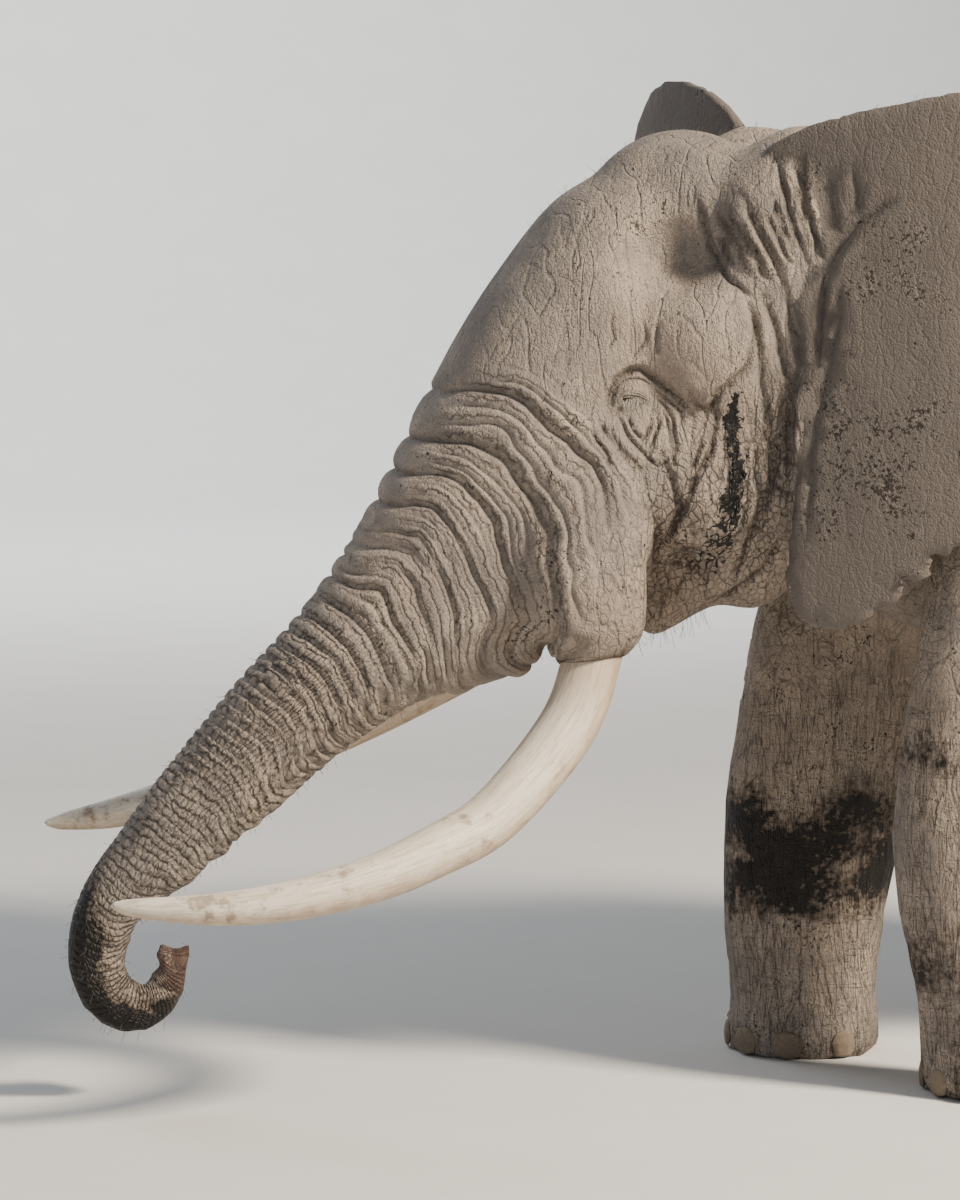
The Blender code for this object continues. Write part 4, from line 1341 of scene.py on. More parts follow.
    def body_relief(self) -> Rows:
        """Raises the soft lumps and long wrinkles of the body, legs and ears.

        Returns:
            How far out each point goes.
        """
        at, head = self.at, self.on("head", "lower_jaw")
        upright = 1 - np.abs(noise(at, (0.075, 0.12, 0.42), 41)) * 2.2
        slant = at @ np.array([[0.8, 0, 0.6], [0, 1, 0], [-0.6, 0, 0.8]])
        slanting = 1 - np.abs(noise(slant, (0.30, 0.15, 0.07), 42)) * 2.2
        lines = np.clip(upright, 0, 1) ** 3 * 0.7 + np.clip(slanting, 0, 1) ** 3 * 0.5
        soft = noise(at, 0.20, 43) * 0.004
        torso = self.on("neck", "shoulders", "belly", "hindquarters")
        move = torso * (soft - 0.006 * lines + 0.005)
        round_leg = 1 - np.abs(noise(at, (0.20, 0.20, 0.05), 44)) * 2.4
        legs = self.on("fore", "hind")
        move += legs * (soft * 0.8 - 0.004 * np.clip(round_leg, 0, 1) ** 3 + 0.003)
        move += head * 0.6 * soft
        for (x, z), (long, high), depth in (HOLLOW, SHOULDER):
            near = 1 - ramp(np.hypot((at[:, 0] - x) / long, (at[:, 2] - z) / high), 0.05, 1.05)
            move -= head * depth * near * ramp(np.abs(at[:, 1]), 0.10, 0.20)
        move += 0.007 * np.exp(-(self.tusk_gap() / 0.020) ** 2)
        move += self.cuticles()
        move += self.on("ear") * noise(at, (0.05, 0.05, 0.16), 45) * 0.0018
        return move

    def tusk_gap(self) -> Rows:
        """Finds how far the points of the lips lie from a tusk.

        Returns:
            The distances; points elsewhere get a large one.
        """
        x, _, z = self.at.T
        gap = np.full(len(x), 9.0)
        index = np.nonzero(self.on("head", "trunk_base") & (z < 1.62) & (x > 0.05) & (x < 0.60))[0]
        for side, sign in SIDES.items():
            line = curve_through(TUSK_ROWS[side][:4], 8)
            here = self.at[index] * (1.0, sign, 1.0)
            away = np.linalg.norm(here[:, None] - line[None, :, :3], axis=2) - line[:, 3]
            gap[index] = np.minimum(gap[index], np.abs(away).min(axis=1))
        return gap

    def cuticles(self) -> Rows:
        """Raises the hide round each toenail.

        Returns:
            How far out each point goes.
        """
        move = np.zeros(len(self.at))
        low = np.nonzero(self.on("fore", "hind") & (self.at[:, 2] < 0.22))[0]
        for name in NAIL_NAMES:
            solid = self.place.inward(points_of(NODES[name].data))
            reach = np.ptp(solid, axis=0)
            wide = max(reach[0], reach[1])
            away = (self.at[low] - solid.mean(axis=0)) / (wide, wide, reach[2])
            apart = np.linalg.norm(away, axis=1)
            rim = np.exp(-((apart - 0.60) / 0.12) ** 2) * ramp(away[:, 2], -0.45, 0.15)
            move[low] = np.maximum(move[low], 0.008 * rim)
        return move

    def rim_shift(self, normal: Rows) -> Rows:
        """Wears the edge of each ear, in the ear's own plane.

        Args:
            normal: the way the hide faces at each point.

        Returns:
            How each point moves.
        """
        shift = np.zeros_like(self.at)
        for side, facing in (("left", (0.34, -0.94, 0.0)), ("right", (1.0, 0.05, 0.0))):
            plate = np.array(facing) / np.linalg.norm(facing)
            index = np.nonzero(self.on(f"ear_{side}"))[0]
            rim = index[np.abs(normal[index] @ plate) < 0.35]
            away = unit(normal[rim] - (normal[rim] @ plate)[:, None] * plate)
            edge = self.at[rim]
            where = edge - (edge @ plate)[:, None] * plate
            nick = np.clip(noise(where, 0.026, 47) - 0.05, 0, 1) * -0.060
            out = edge[:, 0] if side == "left" else 0.47 + np.abs(edge[:, 1])
            worn = (noise(where, 0.060, 46) * 0.014 + nick) * ramp(out, 0.93, 1.06) * (
                0.12 + 0.88 * ramp(-edge[:, 2], -2.05, -1.75)
            )
            tree = finder(edge)
            nearest, apart = map(
                np.array, zip(*(tree.find(point)[1:] for point in self.at[index]))
            )
            share = worn[nearest] * (1 - ramp(apart, 0.004, 0.045))
            shift[index] = away[nearest] * share[:, None]
        return shift

    def stains(self) -> dict[str, Rows]:
        """Marks where the black run from the gland flows, where it branches, and specks.

        Returns:
            Each of them by name, as shares from 0 to 1.
        """
        at, flesh = self.at, self.on("head", "lower_jaw", "neck")
        sway = at[:, [0, 2]] + 0.012 * np.stack([noise(at, 0.06, 33), noise(at, 0.06, 34)], axis=1)
        away, share = GLAND.read(sway)
        broad = 0.010 + 0.022 * ramp(share, 0.02, 0.26) + 0.010 * noise(at, 0.06, 35)
        gland = np.exp(-(away / np.maximum(broad, 0.003)) ** 2) * ramp(share, 0.0, 0.05)
        gland *= flesh * (1 - ramp(share, 0.58, 0.74))
        vein = flesh * np.exp(-(away / 0.050) ** 2)
        vein *= ramp(share, 0.46, 0.62) * (1 - ramp(share, 0.93, 1.0))
        out = np.where(at[:, 1] > 0, 0.47 + np.abs(at[:, 1]), at[:, 0])
        cluster = np.hypot((out - 1.02) / 0.20, (at[:, 2] - 1.86) / 0.24)
        higher = np.hypot((out - 1.00) / 0.24, (at[:, 2] - 2.42) / 0.16)
        spot = 1.35 * np.exp(-cluster ** 2) + 0.7 * np.exp(-higher ** 2) - 0.25
        return {"gland": gland, "vein": vein, "spot": self.on("ear") * spot}

    def wetness(self) -> Rows:
        """Finds how wet and muddy each place is; the far foreleg also darkens towards the floor.

        Returns:
            A share from 0 to 1 for each point.
        """
        at, ring, trunk = self.at, self.ring[0], self.on("trunk")
        ahead = 1 - 0.55 * ramp(self.rearward(), -0.35, 0.45)
        wet = trunk * ramp(ring, 20.0, 52.0) * ahead * 0.95
        wet += trunk * 0.25 * noise(at, 0.12, 53) * ramp(ring, 14.0, 30.0)
        far = self.on("fore_leg_right", "fore_foot_right")
        near = self.on("fore", "hind") & ~far
        splash = 0.55 * noise(at, 0.20, 51) + 0.40 * noise(at, 0.07, 52)
        z = at[:, 2]
        # The far foreleg has a wet band at mid height, and it also darkens towards the floor.
        band = ramp(z, 0.36, 0.48) * (1 - ramp(z, 0.72, 0.92)) + 0.45 * ramp(-z, -0.20, -0.06)
        wet += far * np.clip(0.78 * band + 0.8 * splash - 0.06, 0, 1)
        upper = ramp(z, 0.90, 1.10) * (1 - ramp(z, 1.35, 1.60))
        wet += near * np.clip(0.24 - 0.25 * z + 0.14 * upper + 0.85 * splash, 0, 1)
        return np.clip(wet, 0, 1)

    def marks(self) -> dict[str, Rows]:
        """Gathers what the hide's finish needs to know of each place.

        Returns:
            Each number by name.
        """
        at, ring = self.at, self.ring[0]
        x, y, z = at.T
        head = self.on("head")
        fine = ramp(ring, 4.0, 9.0)
        flesh = self.on("head", "lower_jaw", "neck")
        cheek = flesh * ramp(-z, -1.95, -1.72) * ramp(x, 0.28, 0.42)
        eye_corner = np.hypot(x - 0.343, z - 2.007)
        eye_hide = np.hypot((x - 0.40) / 0.13, (z - 1.99) / 0.13)
        return {
            "row": self.rings.row(ring),
            "around": self.around(),
            "ringed": self.ring_share(),
            "fine": fine + (1 - fine) * (0.15 + 0.85 * ramp(np.abs(y), 0.12, 0.22)),
            # crease: how deep a point lies in a fold or a trunk groove, which the finish paints as
            # shade, with a dark ring where each tusk leaves the lip and a tear stain at each eye's
            # inner corner
            "crease": np.maximum.reduce([
                self.fold_relief()[1], self.ring_depth(),
                1.2 * np.exp(-(self.tusk_gap() / 0.016) ** 2),
                1.8 * np.exp(-(eye_corner / 0.010) ** 2),
            ]),
            "ear": self.on("ear").astype(float),
            "brow": np.maximum(head * ramp(z, 1.98, 2.14), np.exp(-eye_hide ** 4)),
            "leg": self.on("fore", "hind").astype(float) * (1 - ramp(z, 1.25, 1.55)),
            "jaw": cheek * (1 - ramp(x, 0.78, 0.92)) * (0.75 + 0.5 * noise(at, 0.10, 36)),
            **self.stains(),
            "tip": self.on("trunk_tip") * ramp(ring, 64.0, 72.0),
            "wet": self.wetness(),
        }


class Piece:
    """A piece of the model; each kind below builds its own mesh."""

    slot: ClassVar[Slot]
    finish: Finish

    def stands_for(self) -> Sequence[str]:
        """Lists the solids whose place the piece takes."""
        return ()

    def dress(self, thing: Thing) -> Thing:
        """Gives the piece its finish and its place in the model.

        Args:
            thing: what its own class has built.

        Returns:
            The same object.
        """
        thing.data.shade_smooth()
        if self.slot is not Slot.HAIR:      # a hair has its finish from its node tree
            thing.data.materials.clear()
            thing.data.materials.append(self.finish.make())
        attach(thing, BODY)
        if self.stands_for():
            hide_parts(*self.stands_for())
        return thing


@dataclass
class Skin(Piece):
    """The one hide over all the flesh, from the solids under it."""

    slot = Slot.HIDE
    place: Place
    finish: Finish
    swell: float = 0.002        # how far each solid is swollen so that neighbours join
    voxel: float = 0.010        # grid of the surface before it is refined
    triangles: int = 194000
    rings: RingField = field(default_factory=RingField)
    parts: tuple[str, ...] = (
        "head", "lower_jaw", "neck", "shoulders", "belly", "hindquarters", "tail",
        "trunk_base", "trunk_upper", "trunk_middle", "trunk_lower", "trunk_tip",
        "ear_left", "ear_right",
        "fore_leg_left", "fore_leg_right", "hind_leg_left", "hind_leg_right",
        "fore_foot_left", "fore_foot_right", "hind_foot_left", "hind_foot_right",
    )
    solids: BVHTree = field(init=False)
    owners: Rows = field(init=False)

    def flesh(self) -> Mesh:
        """Joins the solids' own surfaces, each swollen a little, and keeps whose is whose."""
        joined = bmesh.new()
        owners: list[int] = []
        for number, name in enumerate(self.parts):
            copy = NODES[name].data.copy()
            solid = bmesh.new()
            solid.from_mesh(copy)
            bmesh.ops.remove_doubles(solid, verts=solid.verts, dist=1e-5)
            solid.normal_update()
            moves = [v.normal * v.calc_shell_factor() * self.swell for v in solid.verts]
            for vert, move in zip(solid.verts, moves):
                vert.co += move
            solid.to_mesh(copy)
            owners += [number] * len(solid.faces)
            solid.free()
            joined.from_mesh(copy)
            bpy.data.meshes.remove(copy)
        mesh = bpy.data.meshes.new("flesh")
        joined.to_mesh(mesh)
        joined.free()
        self.owners = np.array(owners)
        self.solids = BVHTree.FromPolygons(
            [tuple(v.co) for v in mesh.vertices], [tuple(p.vertices) for p in mesh.polygons]
        )
        return mesh

    def spots(self, mesh: Mesh) -> Spots:
        """Finds the solid under each vertex of a mesh, and returns them as points of the hide."""
        points, find = points_of(mesh), self.solids.find_nearest
        owner = self.owners[np.array([find(Vector(point))[2] for point in points])]
        return Spots(self.place.inward(points), owner, self.parts, self.place, self.rings)

    def surface(self) -> Thing:
        """Makes one closed grid surface round all the flesh."""
        thing = add_object("elephant_skin", self.flesh())
        add_modifier(thing, "grid", "REMESH", mode="VOXEL", voxel_size=self.voxel)
        applied(thing)
        return thing

    def stands_for(self) -> Sequence[str]:
        """Lists all the solids of flesh."""
        return self.parts

    def soften(self, thing: Thing, where: Rows, rounds: int) -> None:
        """Rounds the facets off a part of the surface.

        Args:
            thing: the skin.
            where: which vertices.
            rounds: how many times they are averaged with their neighbours.
        """
        group = thing.vertex_groups.new(name=f"soften_{rounds}")
        group.add(np.nonzero(where)[0].tolist(), 1.0, "REPLACE")
        add_modifier(
            thing, group.name, "SMOOTH", factor=0.5, iterations=rounds, vertex_group=group.name,
        )

    def refine(self, thing: Thing, inside: Rows) -> None:
        """Halves the grid in one place.

        Args:
            thing: the skin.
            inside: which vertices are in that place.
        """
        fine = bmesh.new()
        fine.from_mesh(thing.data)
        edges = [e for e in fine.edges if all(inside[v.index] for v in e.verts)]
        bmesh.ops.subdivide_edges(fine, edges=edges, cuts=1, use_grid_fill=True)
        fine.to_mesh(thing.data)
        fine.free()

    def build(self) -> Thing:
        """Builds the skin, with all its folds.

        Returns:
            The skin's object.
        """
        thing = self.surface()
        spots = self.spots(thing.data)
        x, _, z = spots.at.T
        firm = ~spots.on("ear", "tail", "trunk_tip", "trunk_lower")
        stout = firm & ((x > 1.0) | spots.on("fore", "hind"))
        self.soften(thing, np.ones(len(x), bool), 8)
        self.soften(thing, firm, 14)
        self.soften(thing, stout, 40)
        self.soften(thing, stout & (x > 1.3) & (z > 1.15), 220)
        applied(thing)
        LOG.info("skin surface: %d faces", len(thing.data.polygons))
        x, y, _ = self.place.inward(points_of(thing.data)).T
        self.refine(thing, (x < 1.0) & (np.abs(y) < 0.75))
        spots = self.spots(thing.data)
        self.refine(thing, spots.on("ear") & (spots.at[:, 2] < 1.80) & (spots.at[:, 0] > 0.85))
        for reach in (0.130, 0.045):
            at = self.place.inward(points_of(thing.data))
            self.refine(thing, self.place.near_eyes(at, reach))
        LOG.info("skin refined: %d faces", len(thing.data.polygons))
        self.relieve(thing)
        LOG.info("skin relieved")
        self.thin(thing)
        LOG.info("skin thinned: %d faces", len(thing.data.polygons))
        self.mark(thing)
        return thing

    def relieve(self, thing: Thing) -> None:
        """Moves the surface out and in for its folds, lids and lumps.

        Args:
            thing: the skin.
        """
        spots, normal = self.spots(thing.data), normals_of(thing.data)
        move = spots.ring_relief() + spots.fold_relief()[0] + spots.body_relief()
        points = spots.at + normal * move[:, None] + spots.rim_shift(normal)
        for side in SIDES:
            lids = Lids(side, self.place)
            eye = self.place.inward(self.place.eyes[side])
            index = np.nonzero(np.linalg.norm(points - eye, axis=1) < 0.09)[0]
            points[index] = lids.move(points, index)
        points[:, 2] = np.maximum(points[:, 2], 0.0)
        set_points(thing.data, self.place.outward(points))

    def thin(self, thing: Thing) -> None:
        """Takes triangles away, most of them where the form is plain.

        Args:
            thing: the skin.
        """
        spots = self.spots(thing.data)
        weight = np.ones(len(spots.at))
        for where, value in (
            (spots.on("head", "trunk", "lower_jaw"), 0.25),
            (spots.on("neck") & (spots.at[:, 0] < 1.1), 0.5), (spots.on("ear"), 0.8),
            (self.place.near_eyes(spots.at, 0.13), 0.1),
            (self.place.near_eyes(spots.at, 0.045), 0.0),
        ):
            weight[where] = value
        group = thing.vertex_groups.new(name="plain")
        for value in np.unique(weight):
            group.add(np.nonzero(weight == value)[0].tolist(), float(value), "REPLACE")
        add_modifier(
            thing, "thin", "DECIMATE", ratio=self.triangles / (2 * len(thing.data.polygons)),
            vertex_group=group.name, use_collapse_triangulate=True,
        )
        applied(thing)

    def mark(self, thing: Thing) -> None:
        """Stores what the finish reads on the skin, and lays it out flat.

        Args:
            thing: the skin.
        """
        spots = self.spots(thing.data)
        store(thing.data, spots.marks())
        corners = read(thing.data.loops, "vertex_index", kind=np.int32).reshape(-1, 3)
        normal = read(thing.data.polygons, "normal", 3)
        owner = spots.owner[corners[:, 0]]
        lay_flat(thing.data, Unwrap().lay(spots.at[corners], normal, owner, self.parts))


# ---------------- tusks


@dataclass
class Tusk(Piece):
    """One tusk, a long curved cone of ivory."""

    slot = Slot.IVORY
    side: str
    place: Place
    finish: Finish
    rows: Sequence[Sequence[float]]     # X, distance from the mid-plane, Z, radius
    sides: int = 40
    steps: int = 12

    def build(self) -> Thing:
        """Lofts the tusk round its middle line and closes its ends."""
        line = curve_through(self.rows, self.steps)
        line[:, 1] *= SIDES[self.side]
        middle, radius = line[:, :3], line[:, 3]
        ahead = unit(np.gradient(middle, axis=0))
        up = unit(np.cross(ahead, np.cross([0.0, 0.0, 1.0], ahead)))
        out = np.cross(ahead, up)
        turn = np.linspace(0, 2 * math.pi, self.sides, endpoint=False)
        rings = (middle[:, None] + radius[:, None, None] * (
            np.cos(turn)[None, :, None] * up[:, None]
            + np.sin(turn)[None, :, None] * out[:, None]
        ))
        tip = middle[-1] + ahead[-1] * radius[-1] * 0.9
        points = self.place.outward(np.vstack([rings.reshape(-1, 3), middle[0], tip]))
        mesh = mesh_from(points, tube_faces(len(line), self.sides), f"tusk_{self.side}")
        length = lengths_along(middle)
        along = np.append(np.repeat(length, self.sides), (length[0], length[-1]))
        spin = np.append(np.tile(turn, len(line)), (0.0, 0.0))
        thick = np.append(np.repeat(radius, self.sides), (0.0, 0.0))
        run = np.stack([thick * np.cos(spin), thick * np.sin(spin), along * 0.05], axis=1)
        # under is 0 on top of the tusk and 1 underneath, where the ivory paints shade
        store(mesh, {"along": along, "run": run, "under": 0.5 - 0.5 * np.cos(spin)})
        return add_object(f"ivory_tusk_{self.side}", mesh)

    def stands_for(self) -> Sequence[str]:
        """Names the tusk's solid."""
        return (f"tusk_{self.side}",)


# Each tusk from its root: X, distance from the mid-plane, Z and radius.
TUSK_ROWS = {
    "left": [
        (0.310, 0.262, 1.460, 0.078), (0.268, 0.285, 1.290, 0.084),
        (0.182, 0.332, 1.095, 0.085), (-0.048, 0.450, 0.872, 0.080),
        (-0.250, 0.545, 0.782, 0.074), (-0.450, 0.615, 0.718, 0.066),
        (-0.680, 0.665, 0.677, 0.056), (-0.890, 0.680, 0.662, 0.045),
        (-1.070, 0.665, 0.668, 0.030), (-1.135, 0.653, 0.672, 0.021),
        (-1.165, 0.647, 0.676, 0.011),
    ],
    "right": [
        (0.340, 0.262, 1.560, 0.078), (0.262, 0.290, 1.400, 0.081),
        (0.120, 0.378, 1.260, 0.080), (-0.120, 0.460, 1.115, 0.076),
        (-0.330, 0.545, 1.000, 0.072), (-0.560, 0.620, 0.890, 0.066),
        (-0.800, 0.668, 0.795, 0.057), (-0.990, 0.672, 0.748, 0.045),
        (-1.130, 0.650, 0.732, 0.028), (-1.170, 0.641, 0.730, 0.019),
        (-1.194, 0.635, 0.730, 0.010),
    ],
}


# ---------------- nails


@dataclass
class Nails(Piece):
    """The toenails of all four feet, rounded from their solids."""

    slot = Slot.NAIL
    finish: Finish
    voxel: float = 0.0035
    rounds: int = 12

    def stands_for(self) -> Sequence[str]:
        """Lists the nails' solids."""
        return NAIL_NAMES

    def build(self) -> Thing:
        """Rounds every nail and joins them."""
        joined = bmesh.new()
        for name in NAIL_NAMES:
            copy = NODES[name].data.copy()
            points = points_of(copy)
            middle, high = points.mean(axis=0), np.ptp(points[:, 2]) / 2
            lower = np.clip((middle[2] - points[:, 2]) / high, 0, 1)[:, None]
            wider = middle[:2] + (points[:, :2] - middle[:2]) * (1.02 + 0.16 * lower)
            set_points(copy, np.column_stack([wider, points[:, 2] - 0.010 * lower[:, 0]]))
            joined.from_mesh(copy)
            bpy.data.meshes.remove(copy)
        bmesh.ops.remove_doubles(joined, verts=joined.verts, dist=1e-5)
        mesh = bpy.data.meshes.new("nails")
        joined.to_mesh(mesh)
        joined.free()
        thing = add_object("toenails", mesh)
        add_modifier(thing, "grid", "REMESH", mode="VOXEL", voxel_size=self.voxel)
        add_modifier(thing, "soft", "SMOOTH", iterations=self.rounds)
        applied(thing)
        points = points_of(thing.data) + normals_of(thing.data) * 0.0005
        set_points(thing.data, np.maximum(points, (-9.0, -9.0, 0.001)))
        return thing


# ---------------- eyes


@dataclass
class Eye(Piece):
    """One eyeball, wet and dark, with its iris and pupil looking out and down."""

    slot = Slot.EYE
    side: str
    place: Place
    finish: Finish
    radius: float = 0.0193
    rings: int = 24
    sides: int = 40

    def build(self) -> Thing:
        """Makes the ball, its poles closed, with a slight bulge of the cornea."""
        turns = np.linspace(0, 2 * math.pi, self.sides, endpoint=False)
        rows = []
        for ring in range(1, self.rings):
            angle = math.pi * ring / self.rings
            bulge = 1 + 0.06 * math.exp(-(angle / 0.5) ** 2)
            for turn in turns:
                rows.append((
                    bulge * math.sin(angle) * math.cos(turn),
                    bulge * math.sin(angle) * math.sin(turn),
                    bulge * math.cos(angle),
                ))
        rows += [(0, 0, 1.06), (0, 0, -1)]
        look = Vector((-0.18, SIDES[self.side], -0.35)).normalized()
        turned = np.array(look.to_track_quat("Z", "Y").to_matrix())
        points = np.array(rows) @ turned.T * self.radius + self.place.eyes[self.side]
        mesh = mesh_from(points, tube_faces(self.rings - 1, self.sides), "eyeball")
        polar = np.append(
            np.repeat(math.pi * np.arange(1, self.rings) / self.rings, self.sides), (0, math.pi)
        )
        store(mesh, {"polar": polar})
        return add_object(f"eyeball_{self.side}", mesh)

    def stands_for(self) -> Sequence[str]:
        """Names the eye's solid."""
        return (f"eye_{self.side}",)


# ---------------- hair


@dataclass(frozen=True)
class Strands:
    """Where hairs grow and how they hang: one row of each for every hair."""

    roots: Rows           # in the frame
    ways: Rows            # unit directions at the root
    lengths: Rows
    bends: Rows           # how far the tip hangs from the straight


class HairTree:
    """The node tree that grows a thin solid hair on each point."""

    def __init__(self, name: str, material: bpy.types.Material) -> None:
        """Builds the tree.

        Args:
            name: the tree's name.
            material: what the hairs are made of.
        """
        tree = bpy.data.node_groups.new(name, "GeometryNodeTree")
        face = tree.interface
        face.new_socket("Roots", in_out="INPUT", socket_type="NodeSocketGeometry")
        self.sockets = {}
        for label, kind, value in (
            ("Sides", "NodeSocketInt", 3), ("Steps", "NodeSocketInt", 6),
            ("Radius", "NodeSocketFloat", 0.001), ("Curl", "NodeSocketFloat", 0.0),
            ("Curl Size", "NodeSocketFloat", 0.03), ("Seed", "NodeSocketInt", 7),
        ):
            socket = face.new_socket(label, in_out="INPUT", socket_type=kind)
            socket.default_value = value
            self.sockets[label] = socket.identifier
        face.new_socket("Hairs", in_out="OUTPUT", socket_type="NodeSocketGeometry")
        given = tree.nodes.new("NodeGroupInput").outputs
        add = partial(add_node, tree)
        way, bend, long, strand, along = (
            add("GeometryNodeInputNamedAttribute", {"Name": label}, data_type=kind)
            for label, kind in (
                ("way", "FLOAT_VECTOR"), ("bend", "FLOAT_VECTOR"), ("long", "FLOAT"),
                ("strand", "INT"), ("along", "FLOAT"),
            )
        )
        # One straight hair a unit long, which thins towards its tip.
        line = add("GeometryNodeCurvePrimitiveLine", {"End": (0.0, 0.0, 1.0)})
        stepped = add("GeometryNodeResampleCurve", {"Curve": line, "Count": given["Steps"]})
        factor = add("GeometryNodeSplineParameter", out="Factor")
        marked = add("GeometryNodeStoreNamedAttribute", {
            "Geometry": stepped, "Name": "along", "Value": factor,
        }, data_type="FLOAT", domain="POINT")
        taper = add("MapRange", {"Value": factor, "To Min": 1.0, "To Max": 0.22})
        tapered = add("GeometryNodeSetCurveRadius", {"Curve": marked, "Radius": taper})
        ring = add("GeometryNodeCurvePrimitiveCircle", {
            "Resolution": given["Sides"], "Radius": 1.0,
        })
        hair = add("GeometryNodeCurveToMesh", {
            "Curve": tapered, "Profile Curve": ring, "Fill Caps": True,
        })
        # It stands on every root, and keeps the number of its own.
        count = add("GeometryNodeStoreNamedAttribute", {
            "Geometry": given["Roots"], "Name": "strand", "Value": add("GeometryNodeInputIndex"),
        }, data_type="INT", domain="POINT")
        grown = add("GeometryNodeInstanceOnPoints", {
            "Points": count, "Instance": hair,
            "Rotation": add("FunctionNodeAlignRotationToVector", {"Vector": way}, axis="Z"),
            "Scale": add("CombineXYZ", (given["Radius"], given["Radius"], long)),
        })
        solid = add("GeometryNodeRealizeInstances", {"Geometry": grown})
        # Its tip hangs, and all of it wavers.
        squared = add("Math", (along, 1.8), operation="POWER")
        hang = add("VectorMath", {0: bend, "Scale": squared}, operation="SCALE")
        waver = add("TexNoise", {
            "Vector": add("GeometryNodeInputPosition"),
            "W": add("Math", (strand, given["Seed"]), operation="ADD"),
            "Scale": add("Math", (1.0, given["Curl Size"]), operation="DIVIDE"),
            "Detail": 1.0,
        }, "Color", noise_dimensions="4D")
        centred = add("VectorMath", (waver, (0.5, 0.5, 0.5)), operation="SUBTRACT")
        strength = add("Math", (given["Curl"], along), operation="MULTIPLY")
        curl = add("VectorMath", {0: centred, "Scale": strength}, operation="SCALE")
        moved = add("GeometryNodeSetPosition", {
            "Geometry": solid, "Offset": add("VectorMath", (hang, curl), operation="ADD"),
        })
        add("NodeGroupOutput", {
            "Hairs": add("GeometryNodeSetMaterial", {"Geometry": moved, "Material": material}),
        })
        self.tree = tree


@dataclass
class Hair(Piece):
    """One lot of hairs of the same kind."""

    slot = Slot.HAIR
    name: str
    strands: Strands
    finish: Finish
    skin: Thing
    radius: float = 0.001
    steps: int = 6
    curl: float = 0.0
    curl_size: float = 0.03
    solids: tuple[str, ...] = ()
    patch: float = 0.003        # of the UV map for each hair

    def stands_for(self) -> Sequence[str]:
        """Lists the solids that the hairs take the place of."""
        return self.solids

    def build(self) -> Thing:
        """Grows the hairs and lays out their UV map."""
        points = bpy.data.meshes.new(self.name)
        points.from_pydata([tuple(map(float, root)) for root in self.strands.roots], [], [])
        store(points, {
            "way": self.strands.ways, "bend": self.strands.bends, "long": self.strands.lengths,
        })
        thing = add_object(self.name, points)
        tree = HairTree(f"{self.name}_tree", self.finish.make())
        grower = add_modifier(thing, "hairs", "NODES", node_group=tree.tree)
        for label, value in (
            ("Steps", self.steps), ("Radius", self.radius), ("Curl", self.curl),
            ("Curl Size", self.curl_size),
        ):
            grower[tree.sockets[label]] = value
        self.lay_out(applied(thing))
        return thing

    def lay_out(self, mesh: Mesh) -> None:
        """Gives each hair a small patch at its root's place on the skin's own map.

        Args:
            mesh: the hairs.
        """
        skin = self.skin.data
        place = np.zeros((len(skin.vertices), 2))
        corners = read(skin.loops, "vertex_index", kind=np.int32)
        place[corners] = read(skin.uv_layers[BAKE_MAP].uv, "vector", 2)
        tree = finder(points_of(skin))
        homes = np.array([place[tree.find(root)[1]] for root in self.strands.roots])
        strand = read(mesh.attributes["strand"].data, "value", kind=np.int32)
        along = read(mesh.attributes["along"].data, "value")
        across = np.arange(len(mesh.vertices)) % 3 / 2
        spot = homes[strand] + self.patch * (np.stack([across, along], axis=1) - 0.5)
        corners = read(mesh.loops, "vertex_index", kind=np.int32)
        lay_flat(mesh, np.clip(spot[corners], 0, 1))


